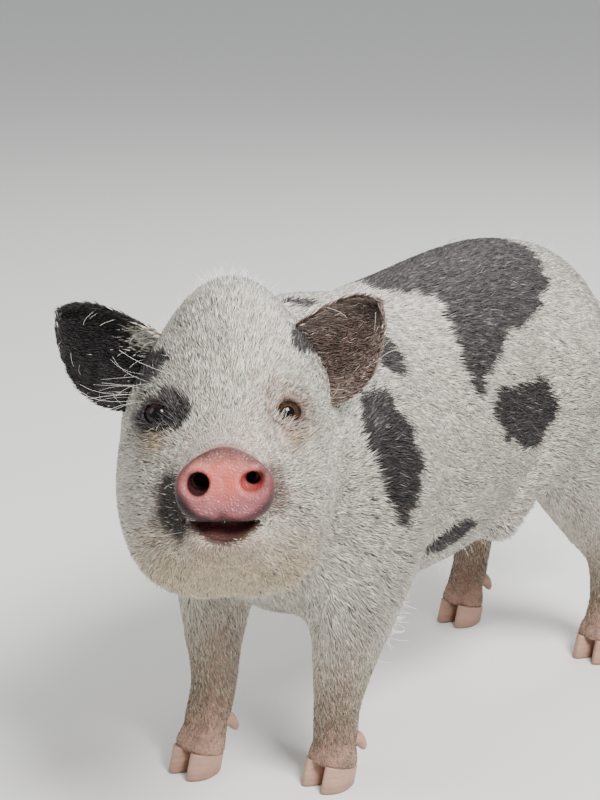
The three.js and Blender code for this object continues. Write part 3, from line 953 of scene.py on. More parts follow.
class Frame:
    """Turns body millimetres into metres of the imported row."""

    shift = np.zeros(3)

    @classmethod
    def fit(cls) -> None:
        """Finds the shift from the left eye's packed place."""
        low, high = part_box("eye_left")
        centre = (np.array(low) + np.array(high)) / 2 / MM
        cls.shift = FORM.from_head(FACE.eye(Side.LEFT)) - centre

    @classmethod
    def row(cls, p: Array) -> Array:
        """Points in metres in the row's frame."""
        return (np.asarray(p, float) - cls.shift) * MM


def make_mesh(name: str, points: Array, faces: Array) -> Piece:
    """A smooth-shaded object of equal-sided faces, linked to the scene.

    Args:
        name: the piece's name.
        points: vertices in body millimetres.
        faces: an array of vertex numbers, a row for each face.

    Returns:
        The new object.
    """
    mesh = bpy.data.meshes.new(name)
    sides = faces.shape[1]
    mesh.vertices.add(len(points))
    mesh.vertices.foreach_set("co", Frame.row(points).astype(np.float32).ravel())
    mesh.loops.add(faces.size)
    mesh.loops.foreach_set("vertex_index", faces.astype(np.int32).ravel())
    mesh.polygons.add(len(faces))
    mesh.polygons.foreach_set("loop_start", np.arange(0, faces.size, sides, dtype=np.int32))
    mesh.polygons.foreach_set("use_smooth", np.ones(len(faces), bool))
    mesh.update(calc_edges=True)
    mesh.validate()
    piece = bpy.data.objects.new(name, mesh)
    bpy.context.scene.collection.objects.link(piece)
    return piece


def paint(piece: Piece, name: str, values: Array) -> None:
    """Stores a number or colour at each vertex.

    Args:
        piece: the object.
        name: the attribute's name.
        values: one value, or one row of three, for each vertex.
    """
    mesh = piece.data
    if values.ndim == 1:
        layer = mesh.attributes.new(name, "FLOAT", "POINT")
        layer.data.foreach_set("value", values.astype(np.float32))
    else:
        rgba = np.ones((len(values), 4), np.float32)
        rgba[:, :3] = values
        layer = mesh.attributes.new(name, "FLOAT_COLOR", "POINT")
        layer.data.foreach_set("color", rgba.ravel())


def linear(code: str) -> Array:
    """An sRGB hex colour as linear light.

    Args:
        code: six hex digits after a hash.

    Returns:
        Red, green and blue from 0 to 1.
    """
    value = np.array([int(code[i:i + 2], 16) for i in (1, 3, 5)]) / 255
    return np.where(value <= 0.04045, value / 12.92, ((value + 0.055) / 1.055) ** 2.4)


class Hue(Enum):
    """The pig's colours."""

    PINK_SKIN = "#C09083"
    PALE_SKIN = "#C8A493"
    BLACK_SKIN = "#1C191A"
    GREY_SKIN = "#4A3F3C"
    SNOUT = "#BC6E66"
    SNOUT_DEEP = "#B9544A"
    SNOUT_TOP = "#694A42"
    SNOUT_LOW = "#7D4950"
    # Painted shade on the snout: its rim, notch and nostril edges.
    SNOUT_RIM = "#0F0809"
    # Painted shade inside the nostrils.
    NOSTRIL_DARK = "#241013"
    NOSTRIL_RED = "#8E3A36"
    LIP = "#3E2A22"
    MOUTH = "#55302F"
    EYE_BROWN = "#8F7565"
    EYE_STAIN = "#C9AC7E"
    SOOT_HAIR = "#3C3836"
    EAR_HAIR = "#8C7D72"
    # Painted shade: grey-brown skin for the shade between the hairs.
    UNDER = "#84706A"
    LEG_SKIN = "#A37F6D"
    EAR_BROWN = "#5B4741"
    EAR_BLACK = "#1F1B1C"
    WHITE_HAIR = "#FBF6EA"
    CREAM_HAIR = "#E6D3B0"
    BLACK_HAIR = "#151314"
    GREY_HAIR = "#5E5856"
    LEG_HAIR = "#8A735A"
    HORN = "#B18C78"
    HORN_DARK = "#7C5C4C"
    PUPIL = "#060404"
    IRIS = "#3B2413"
    IRIS_EDGE = "#24140B"
    SCLERA = "#35241E"
    FLOOR = "#E6E4E0"

    @property
    def light(self) -> Array:
        """The colour in linear light."""
        return linear(self.value)


def mixed(a: Array, b: Array | Hue, amount: Array) -> Array:
    """Colours turned towards others.

    Args:
        a: linear colours, or one.
        b: what they turn towards.
        amount: how far, from 0 to 1, at each place.

    Returns:
        Linear colours.
    """
    b = b.light if isinstance(b, Hue) else b
    return a + (b - a) * amount[:, None]


def evenly(hue: Hue, count: int) -> Array:
    """One colour repeated, in linear light."""
    return np.tile(hue.light, (count, 1))


@dataclass
class Sheet:
    """A closed leaf of an ear: front and back faces on one grid."""

    side: Side
    rows: int = 46
    columns: int = 34
    root: Place = (34.0, 99, 57)
    left_tip: Place = (82.0, 90, 93)
    right_tip: Place = (-86.0, 90, 89)
    upper: float = 18.0
    lower: float = 21.28
    belly: float = 10.08
    cup: float = 13.0
    fold: float = 5.0
    thickness: float = 2.0
    sunk: float = 0.25

    def place(self, u: Array, v: Array, face: Array) -> Array:
        """Head points of the ear: u from root to tip, v from lower to upper margin.

        Args:
            u: 0 at the root to 1 at the tip.
            v: -1 at the lower margin to 1 at the upper.
            face: -1 in front, 1 behind.

        Returns:
            Head points.
        """
        root = np.array([self.root[0] * self.side, *self.root[1:]])
        tip = np.array(self.left_tip if self.side is Side.LEFT else self.right_tip)
        along = tip - root
        length = np.linalg.norm(along)
        along = along / length
        back = unit(np.array([0, 1, 0]) - along * along[1])
        up = np.cross(back, along)
        up = up if up[2] > 0 else -up
        t = np.clip(u, 0, 1)
        upper = self.upper * np.sqrt(np.maximum(1 - t ** 4.5, 0.004)) * (1 - 0.18 * t)
        lower = self.lower + self.belly * np.sin(np.pi * t ** 0.8)
        lower = lower * np.sqrt(np.maximum(1 - t ** 3.4, 0.004))
        cup = (self.cup * (1 - t) ** 0.8 + self.fold) * (1 - v * v) - 4 * t * t
        ripple = 0.5 * np.sin(9 * u + 2 * v) * t
        thin = self.thickness / 2 * (1 - 0.45 * t) * np.sqrt(1 - 0.85 * v ** 4)
        thin = thin * (1 + 1.6 * smooth_step(0.25, -0.1, u))
        rise = np.where(v > 0, v * upper, v * lower)
        return (root + along * (length * u)[:, None] + up * rise[:, None]
                + back * (cup + ripple + face * thin)[:, None])

    def build(self) -> tuple[Array, Array, Array, Array]:
        """The ear's vertices in body space, its faces, and u and v at each vertex.

        Returns:
            Vertices, faces, u and v.
        """
        rise = np.sin(np.pi / 2 * np.arange(self.rows + 1) / self.rows)
        u = -self.sunk + (1 + self.sunk) * rise
        v = -np.cos(np.pi * np.arange(self.columns + 1) / self.columns)
        uu, vv = (a.ravel() for a in np.meshgrid(u, v, indexing="ij"))
        front, rear = (self.place(uu, vv, np.full(len(uu), s)) for s in (-1.0, 1.0))
        points = FORM.from_head(np.concatenate([front, rear]))
        n, wide, tall = len(uu), self.columns + 1, self.rows + 1
        at = np.arange(n).reshape(tall, wide)
        a, b = at[:-1, :-1].ravel(), at[:-1, 1:].ravel()
        c, d = at[1:, 1:].ravel(), at[1:, :-1].ravel()
        quads = [np.stack([a, b, c, d], 1), np.stack([a, d, c, b], 1) + n]
        for edge, flip in ((at[:, 0], False), (at[:, -1], True), (at[0], True), (at[-1], False)):
            ring = np.stack([edge[:-1], edge[1:], edge[1:] + n, edge[:-1] + n], 1)
            quads.append(ring[:, ::-1] if flip else ring)
        faces = np.concatenate(quads)
        faces = faces[:, ::-1] if self.side is Side.LEFT else faces
        return points, faces, np.tile(uu, 2), np.tile(vv, 2)


@dataclass
class Tail:
    """The hanging tail: a tapered round length along a curve."""

    AXIS = ((3, 150, 247), (6, 183, 243), (12, 205, 216), (17, 210, 182), (18, 203, 150))
    RADII = (11, 9.5, 6.5, 4.6, 2)
    coat: float = 0.8
    point: float = 1.2
    rings: int = 48
    sides: int = 20

    def curve(self, t: Array) -> tuple[Array, Array]:
        """Points and girths along the tail at t from 0 to 1.

        Args:
            t: places from root to tip.

        Returns:
            Points and girths.
        """
        knots = np.array(self.AXIS, float)
        values = np.column_stack([knots, self.RADII])
        padded = np.vstack([2 * values[0] - values[1], values, 2 * values[-1] - values[-2]])
        place = np.clip(t, 0, 1) * (len(values) - 1)
        i = np.minimum(place.astype(int), len(values) - 2)
        f = (place - i)[:, None]
        p0, p1, p2, p3 = (padded[i + k] for k in range(4))
        out = 0.5 * (2 * p1 + (p2 - p0) * f + (2 * p0 - 5 * p1 + 4 * p2 - p3) * f ** 2
                     + (3 * p1 - p0 - 3 * p2 + p3) * f ** 3)
        return out[:, :3], out[:, 3]

    def build(self) -> tuple[Array, Array, Array]:
        """Vertices, faces, and t at each vertex.

        Returns:
            Vertices, faces and places from root to tip.
        """
        t = np.linspace(0, 1, self.rings)
        centre, girth = self.curve(t)
        girth = np.maximum(girth - self.coat, self.coat)
        along = unit(np.gradient(centre, axis=0))
        over = unit(np.cross(along, [1.0, 0, 0]))
        across = np.cross(over, along)
        angle = np.linspace(0, 2 * np.pi, self.sides, endpoint=False)
        ring = (across[:, None] * np.cos(angle)[None, :, None]
                + over[:, None] * np.sin(angle)[None, :, None])
        points = (centre[:, None] + ring * girth[:, None, None]).reshape(-1, 3)
        at = np.arange(len(points)).reshape(self.rings, self.sides)
        nxt = np.roll(at, -1, axis=1)
        faces = np.stack([at[:-1], nxt[:-1], nxt[1:], at[1:]], -1).reshape(-1, 4)
        tip = len(points)
        points = np.vstack([points, centre[-1] + along[-1] * self.point])
        last = at[-1]
        cap = np.stack([last[0::2], last[1::2], np.roll(last, -2)[0::2],
                        np.full(self.sides // 2, tip)], 1)
        return points, np.concatenate([faces, cap]), np.append(np.repeat(t, self.sides), 1.0)


@dataclass
class Patch:
    """A stretch of haired surface: its triangles and what its coat needs at each vertex."""

    name: str
    points: Array
    normals: Array
    triangles: Array
    flow: Array
    length: Array
    width: Array
    lift: Array
    density: Array
    root_hue: Array
    tip_hue: Array
    chart: Array
    dark: Array
    fresh: bool = False

    FIELDS = ("points", "normals", "flow", "length", "width", "lift", "root_hue", "tip_hue",
              "chart")


class Surface:
    """Small helpers on arrays of triangles."""

    @staticmethod
    def split(quads: Array) -> Array:
        """Two triangles for each four-sided face."""
        return np.concatenate([quads[:, [0, 1, 2]], quads[:, [0, 2, 3]]])

    @staticmethod
    def normals(points: Array, triangles: Array) -> Array:
        """Unit normals at vertices, weighted by area.

        Args:
            points: vertices.
            triangles: rows of three vertex numbers.

        Returns:
            A unit vector a vertex.
        """
        a, b, c = (points[triangles[:, i]] for i in range(3))
        face = np.cross(b - a, c - a)
        out = np.zeros_like(points)
        for i in range(3):
            for axis in range(3):
                out[:, axis] += np.bincount(triangles[:, i], face[:, axis], len(points))
        return unit(out)

    @staticmethod
    def outward(points: Array, triangles: Array) -> Array:
        """Turns a closed form's triangles over if they enclose a negative volume.

        Args:
            points: vertices.
            triangles: rows of three vertex numbers.

        Returns:
            The triangles.
        """
        a, b, c = (points[triangles[:, i]] for i in range(3))
        volume = (a * np.cross(b, c)).sum()
        return triangles if volume > 0 else triangles[:, ::-1]


@dataclass
class Skin:
    """One skin over trunk, neck, head and legs, with the ears and tail joined on."""

    cell: float = 3.1
    fine_front: float = 66.0
    patches: list[Patch] = field(default_factory=list)

    LOW = (-125.0, -380.0, -10.0)
    HIGH = (215.0, 200.0, 370.0)
    HEAD_RADIUS = 150
    HEAD_BLEND = 24
    HORN_LAP = 1.2
    COAT_CENTRE = (0, 60, 15)

    @staticmethod
    def distance(p: Array) -> Array:
        """Distance to the skin, inside the solids by the coat's depth.

        Args:
            p: body points.

        Returns:
            Distances.
        """
        d = FORM.body(p)
        q = FORM.to_head(p)
        near = FORM.head_reach(q) < Skin.HEAD_RADIUS
        head = np.full(len(p), 80.0)
        head[near] = FACE.distance(q[near])
        d = smooth_min(d, head, Skin.HEAD_BLEND) + COAT.depth(p)
        for limb in LIMBS:
            x, y = limb.foot
            foot = (np.abs(p[:, 0] - x) < 40) & (np.abs(p[:, 1] - y) < 50) & (p[:, 2] < 40)
            f = p[foot]
            coronet = Hooves.CORONET - Hooves.SLOPE * (f[:, 1] - y) - Skin.HORN_LAP
            above = (coronet - f[:, 2]) * 0.96
            d[foot] = smooth_max(d[foot], above, 2.5)
        return d

    def refine(self, points: Array, quads: Array) -> tuple[Array, Array]:
        """Splits the face's quads once, and those of snout, mouth and eyes twice.

        Args:
            points: vertices of the even net.
            quads: its faces.

        Returns:
            New vertices and triangles.
        """
        mesh = bmesh.new()
        for p in points:
            mesh.verts.new(p)
        mesh.verts.index_update()
        mesh.verts.ensure_lookup_table()
        verts = mesh.verts
        for quad in quads.tolist():
            mesh.faces.new([verts[i] for i in quad])
        for level in (0, 1):
            mesh.verts.ensure_lookup_table()
            place = np.array([v.co[:] for v in mesh.verts])
            q = FORM.to_head(place)
            chosen = (q[:, 1] < self.fine_front) & (np.abs(q[:, 0]) < 60) & (q[:, 2] > -60)
            if level:
                close = (FACE.disc(q) < 7) | (FACE.mouth(q) < 5)
                for side in Side:
                    close |= FACE.from_eye(q, side) < 17
                chosen &= close
            edges = [e for e in mesh.edges if all(chosen[v.index] for v in e.verts)]
            bmesh.ops.subdivide_edges(mesh, edges=edges, cuts=1, use_grid_fill=True)
            mesh.verts.index_update()
        bmesh.ops.triangulate(mesh, faces=mesh.faces[:])
        mesh.verts.index_update()
        out = np.array([v.co[:] for v in mesh.verts])
        faces = np.array([[v.index for v in f.verts] for f in mesh.faces])
        mesh.free()
        return out, faces

    def build(self) -> Piece:
        """Makes the skin object and the patches that its coat grows on.

        Returns:
            The skin.
        """
        net = Net.over(self.distance, np.array(self.LOW), np.array(self.HIGH), self.cell)
        LOG.info("skin net: %d vertices", len(net.points))
        points = Net.settle(self.distance, net.points, self.cell / 3, 1)
        points, faces = self.refine(points, net.quads)
        points = Net.settle(self.distance, points, self.cell / 3, 2)
        LOG.info("skin refined: %d vertices, %d triangles", len(points), len(faces))
        self.patches.append(self.body_patch(points, faces))
        hues = [self.hue(points)]
        for side in Side:
            ear, quads, u, v = Sheet(side).build()
            patch, hue = self.ear_patch(side, ear, Surface.split(quads), u, v)
            self.patches.append(patch)
            hues.append(hue)
        tail, quads, t = Tail().build()
        self.patches.append(self.tail_patch(tail, Surface.split(quads), t))
        hues.append(evenly(Hue.PALE_SKIN, len(tail)))
        starts = np.cumsum([0] + [len(patch.points) for patch in self.patches])
        triangles = [patch.triangles + start for patch, start in zip(self.patches, starts)]
        piece = make_mesh("skin", np.concatenate([patch.points for patch in self.patches]),
                          np.concatenate(triangles))
        paint(piece, "hue", np.concatenate(hues))
        bare = COAT.bare(FORM.to_head(points))
        paint(piece, "bare", np.append(bare, np.zeros(starts[-1] - len(points))))
        return piece

    @staticmethod
    def hue(p: Array) -> Array:
        """The skin's colour at body points.

        Args:
            p: body points.

        Returns:
            Linear colours.
        """
        q = FORM.to_head(p)
        mottle = 0.5 + 0.5 * Noise.waves(p, 22, 21)
        out = mixed(Hue.PINK_SKIN.light, Hue.PALE_SKIN, np.clip(mottle, 0, 1))
        # Painted shade: the skin under the coat, on the head and high on the body, is darkened for
        # the shade between the hairs.
        crown = 1 - smooth_step(95, 150, FORM.head_reach(q))
        high = smooth_step(70, 150, p[:, 2])
        out = mixed(out, Hue.UNDER, np.maximum(crown, high) * 0.75)
        leg = 1 - smooth_step(60, 130, p[:, 2])
        out = mixed(out, Hue.LEG_SKIN, leg * np.clip(0.75 + 0.3 * mottle, 0, 1))
        blotch = smooth_step(0.15, 0.75, Noise.waves(p, 11, 22))
        blotch = blotch * (1 - smooth_step(20, 70, p[:, 2]))
        out = mixed(out, Hue.GREY_SKIN, blotch * 0.5)
        soot = MARKINGS.smudge(p)
        out = mixed(out, Hue.GREY_SKIN, soot * 0.85)
        out = mixed(out, Hue.BLACK_SKIN, soot * (q[:, 0] < 0) * 0.75)
        out = mixed(out, Hue.BLACK_SKIN, MARKINGS.black(p, 3.0) * 0.95)
        near = np.linalg.norm(q - [0, 60, 0], axis=1) < 90
        disc = np.where(near, 1 - smooth_step(0.3, 2.2, FACE.disc(q)), 0)
        out = mixed(out, Skin.snout_hue(p, q), disc)
        lips = np.where(near, 1 - smooth_step(1.0, 5.0, FACE.mouth(q)), 0)
        out = mixed(out, Hue.LIP, lips * (1 - disc) * 0.95)
        for side in Side:
            ball = FACE.from_eye(q, side)
            ring = np.exp(-((ball / 16) ** 4)) * (q[:, 1] < 70)
            tone, strength, lid = ((Hue.EYE_BROWN, 0.6, 0.75) if side is Side.LEFT
                                   else (Hue.BLACK_SKIN, 0.95, 0.97))
            out = mixed(out, tone, ring * strength)
            rim = (1 - smooth_step(0.5, 3.0, FACE.slit(q, side))) * (ball < 15)
            out = mixed(out, Hue.BLACK_SKIN, rim * lid)
        deep = smooth_min(FORM.skull(q), FACE.disc(q), 3)
        inner = (1 - smooth_step(-3.6, -0.4, deep)) * near
        out = mixed(out, Hue.MOUTH, inner * (q[:, 1] < 45) * (1 - disc))
        return out

    @staticmethod
    def snout_hue(p: Array, q: Array) -> Array:
        """The snout's colours: coral centre, brown above, mauve below, painted shade at the rim.

        Args:
            p: body points, for the mottling.
            q: the same points in the head's frame.

        Returns:
            Linear colours.
        """
        x, y, z = q.T
        cloud = Noise.waves(p, 8, 23)
        centre = np.exp(-((x / 10) ** 2 + ((z - 1) / 11) ** 2))
        deep = np.clip(centre + 0.3 * cloud, 0, 1)
        out = mixed(Hue.SNOUT.light, Hue.SNOUT_DEEP, deep * 0.8)
        low = 1 - smooth_step(-13, 0, z - 0.12 * np.abs(x))
        out = mixed(out, Hue.SNOUT_LOW, low * 0.85)
        side = smooth_step(12, 20, np.abs(x)) * 0.55
        out = mixed(out, Hue.SNOUT_LOW, side)
        high = smooth_step(9.5, 15.5, z + 0.16 * np.abs(x) + 1.2 * cloud)
        out = mixed(out, Hue.SNOUT_TOP, high * 0.75)
        # Painted shade: the disc darkens towards its rim, most underneath and on the head's right
        # side.
        reach = np.hypot(x / FACE.disc_width(z), z / 18.4) + 0.02 * cloud
        rim = smooth_step(0.76, 0.97, reach) * (0.97 - 0.4 * smooth_step(-6, 7, z))
        rim = rim * (0.9 - 0.1 * np.tanh(x / 6))
        out = mixed(out, Hue.SNOUT_RIM, rim)
        # Painted shade: dark spots in the notch at the foot of the disc and at the outer upper
        # edges of both nostrils.
        cleft = np.exp(-(((x + 1.5) / 2.6) ** 2 + ((z + 14) / 2.8) ** 2))
        flare = np.exp(-(((x - 17.6) / 2.4) ** 2 + ((z - 5.6) / 2.6) ** 2))
        other = np.exp(-(((x + 16.6) / 2.6) ** 2 + ((z - 5.4) / 2.6) ** 2))
        dark = np.clip(0.6 * cleft + 0.85 * flare + 0.5 * other, 0, 1)
        out = mixed(out, Hue.SNOUT_RIM, dark)
        # Painted shade: the walls of the right nostril and the deep bores of both are darkened; the
        # left nostril's walls keep a red lining.
        for (cup, channel), tone in ((FACE.left_nostril, Hue.NOSTRIL_RED),
                                     (FACE.right_nostril, Hue.NOSTRIL_DARK)):
            bore = np.abs(channel.distance(q))
            hole = np.minimum(np.abs(cup.distance(q)), bore)
            wall = (1 - smooth_step(0.5, 1.8, hole)) * smooth_step(-0.2, 2.0, y)
            out = mixed(out, tone, wall * 0.95)
            out = mixed(out, Hue.NOSTRIL_DARK, (1 - smooth_step(0.3, 1.2, bore)) * (y > 3))
        return out

    @staticmethod
    def hair_hues(p: Array, black: Array, seed: int) -> tuple[Array, Array]:
        """Root and tip colours of hairs that grow at points, the roots darkened as painted shade.

        Args:
            p: body points.
            black: how black the coat is there.
            seed: which random draw.

        Returns:
            Two arrays of linear colours.
        """
        rng = np.random.default_rng(SEED + seed)
        draw, shade = rng.random(len(p)), rng.random(len(p))
        q = FORM.to_head(p)
        chin = np.exp(-(((q[:, 2] + 45) / 22) ** 2)) * (1 - smooth_step(70, 115, q[:, 1]))
        chin = chin * (1 - smooth_step(30, 62, np.abs(q[:, 0])))
        low = 1 - smooth_step(24, 138, p[:, 2])
        cream = np.clip(0.3 * shade + 0.75 * chin + 0.5 * low, 0, 1)
        white = mixed(Hue.WHITE_HAIR.light, Hue.CREAM_HAIR, cream)
        white = mixed(white, Hue.LEG_HAIR, low * (0.45 + 0.5 * (shade > 0.5)))
        for side in Side:
            ball = FACE.from_eye(q, side)
            ring = np.exp(-((ball / 20) ** 4)) * (q[:, 1] < 75)
            tone = Hue.EYE_BROWN if side is Side.LEFT else Hue.SOOT_HAIR
            white = mixed(white, tone, ring * (0.35 + 0.4 * (draw > 0.5)))
            stain = np.exp(-(((q[:, 0] - 33 * side) / 6) ** 2) - ((q[:, 2] - 20) / 7) ** 2)
            white = mixed(white, Hue.EYE_STAIN, stain * (q[:, 1] < 75) * 0.6)
        soot = MARKINGS.smudge(p)
        dusky = np.where(q[:, :1] < 0, Hue.SOOT_HAIR.light, Hue.EYE_BROWN.light)
        white = mixed(white, dusky, soot * np.where(q[:, 0] < 0, 0.95 * (draw > 0.12), 0.6))
        # Painted sheen: the dark hair turns greyer towards the top of the back.
        top_sheen = smooth_step(225, 290, p[:, 2]) * shade * 0.5
        dark = mixed(Hue.BLACK_HAIR.light, Hue.GREY_HAIR, shade ** 2 * 0.6 + top_sheen)
        white = mixed(white, Hue.GREY_HAIR, smooth_step(0.3, 0.9, black) * 0.7)
        is_dark = draw < 0.01 + 0.94 * black
        clump = 0.5 + 0.5 * Noise.waves(p, 5.0, 51) + 0.25 * Noise.waves(p, 14, 52)
        clump = np.clip(clump, 0, 1)[:, None]
        tone = (0.4 + 0.85 * rng.random((len(p), 1)) ** 0.7) * (0.88 + 0.22 * clump)
        # Painted shade: light hairs are much darker at the root than at the tip, and dark hairs a
        # little, for the shade deep in the coat.
        root = np.where(is_dark[:, None], dark, white * 0.27 * tone)
        tip = np.where(is_dark[:, None], dark * 1.25, white * tone)
        return root, tip

    @classmethod
    def body_patch(cls, points: Array, faces: Array) -> Patch:
        """The coat's needs over trunk, neck, head and legs.

        Args:
            points: vertices.
            faces: triangles.

        Returns:
            The patch.
        """
        normals = Surface.normals(points, faces)
        q = FORM.to_head(points)
        head = 1 - smooth_step(85, 135, np.linalg.norm(q - cls.COAT_CENTRE, axis=1))
        face = head * (1 - smooth_step(45, 95, q[:, 1]))
        leg = 1 - smooth_step(70, 150, points[:, 2])
        foot = 1 - smooth_step(16, 62, points[:, 2])
        muzzle = head * (1 - smooth_step(14, 50, q[:, 1]))
        length = COAT.body_hair + (COAT.leg_hair - COAT.body_hair) * leg
        length = length + (COAT.foot_hair - COAT.leg_hair) * foot
        for hair, share in ((COAT.head_hair, head), (COAT.face_hair, face),
                            (COAT.muzzle_hair, muzzle)):
            length = length + (hair - length) * share
        crown = np.exp(-(((q[:, 0] - 3) / 26) ** 2 + ((q[:, 2] - 98) / 20) ** 2))
        length = length + COAT.crown_more * crown * (q[:, 1] < 150)
        width = np.interp(length, COAT.lengths, COAT.widths)
        lift = np.interp(length, COAT.lengths, COAT.lifts)
        density = 1.04 + 0.26 * head + 0.12 * face + 0.9 * muzzle + 0.15 * leg - 0.25 * foot
        bare = COAT.bare(q)
        density = density * (1 - smooth_step(0.15, 0.7, bare)) * (1 - 0.6 * MARKINGS.smudge(points))
        density = density * (points[:, 2] > 14)
        deep = smooth_min(FORM.skull(q), FACE.disc(q), 3)
        density = density * (1 - smooth_step(-1.0, -3.0, deep) * (q[:, 1] < 45))
        zero = np.zeros((len(points), 3))
        return Patch("body", points, normals, faces, COAT.flow(points), length, width, lift,
                     density, zero, zero, zero[:, :2], zero[:, 0], fresh=True)

    @staticmethod
    def ear_patch(side: Side, points: Array, triangles: Array, u: Array,
                  v: Array) -> tuple[Patch, Array]:
        """The coat's needs over one ear, and the ear's skin colours.

        Args:
            side: which ear.
            points: vertices.
            triangles: its faces.
            u: root to tip.
            v: margin to margin.

        Returns:
            The patch, and linear colours.
        """
        normals = Surface.normals(points, triangles)
        half = len(points) // 2
        inner = np.arange(len(points)) < half
        sheet = Sheet(side)
        face = np.where(inner, -1.0, 1.0)
        step = FORM.from_head(sheet.place(u + 0.03, v, face))
        cross = FORM.from_head(sheet.place(u, np.clip(v - 0.08, -1, 1), face))
        flow = unit(step - points)
        lower = unit(cross - points + 1e-6)
        flow = np.where(inner[:, None], unit(flow + 0.55 * lower), flow)
        t = np.clip(u, 0, 1)
        margin = smooth_step(0.35, 0.95, v)
        blotch = smooth_step(-0.1, 0.6, Noise.waves(points, 14, 31))
        shade = np.random.default_rng(SEED + 40 + side).random(len(points))
        white = mixed(evenly(Hue.WHITE_HAIR, len(points)), Hue.CREAM_HAIR, shade * 0.4)
        black = mixed(evenly(Hue.BLACK_HAIR, len(points)), Hue.GREY_HAIR, shade * 0.4)
        if side is Side.RIGHT:
            pale = smooth_step(0.1, 0.6, v) * (1 - smooth_step(0.2, 0.5, t))
            pale = np.where(inner, pale, 0.2 * blotch)
            hue = mixed(evenly(Hue.EAR_BLACK, len(points)), Hue.PALE_SKIN, pale)
            dark = np.where(inner, 0.996 - 0.85 * pale, 0.95)
        else:
            hue = mixed(evenly(Hue.EAR_BROWN, len(points)), Hue.PINK_SKIN, 0.45 * blotch)
            hue = mixed(hue, Hue.EAR_BLACK, 0.5 * smooth_step(0.3, 1.0, t) * inner)
            dark = np.where(inner, 0.975, 0.93)
            brown = mixed(evenly(Hue.EAR_BROWN, len(points)), Hue.EAR_HAIR, shade)
            black = np.where((inner | (np.abs(v) > 0.7) | (t > 0.8))[:, None], brown, black)
            white = mixed(white, Hue.EAR_HAIR, inner * 0.4)
        length = np.where(inner, 5.5, 6.5) + 3 * margin * inner * (1 - t)
        width = np.full(len(points), 0.2)
        lift = np.where(inner, 1.5, 1.1)
        density = np.where(inner, 1.2 + 0.9 * margin, 1.7) * (u > -0.1) * (t < 0.985)
        chart = np.stack([t, (v + 1) / 2 * 0.45 + np.where(inner, 0.0, 0.5)], -1)
        return Patch(f"ear_{side.word}", points, normals, triangles, flow, length, width, lift,
                     density, black, white, chart, dark), hue

    @staticmethod
    def tail_patch(points: Array, triangles: Array, t: Array) -> Patch:
        """The coat's needs over the tail, longest at its tip.

        Args:
            points: vertices.
            triangles: its faces.
            t: root to tip.

        Returns:
            The patch.
        """
        normals = Surface.normals(points, triangles)
        ahead, _ = Tail().curve(np.clip(t + 0.03, 0, 1))
        here, _ = Tail().curve(np.clip(t - 0.001, 0, 0.97))
        flow = unit(ahead - here)
        brush = smooth_step(0.6, 1.0, t)
        shade = np.random.default_rng(SEED + 45).random(len(points))
        root = mixed(evenly(Hue.WHITE_HAIR, len(points)), Hue.CREAM_HAIR, shade * 0.5)
        chart = np.stack([t, (np.arange(len(points)) % Tail().sides) / Tail().sides], -1)
        return Patch("tail", points, normals, triangles, flow, 8 + 22 * brush, 0.42 + 0.1 * brush,
                     1.2 + 2.2 * brush, 0.9 + 3.5 * brush, root, root, chart, brush * 0)


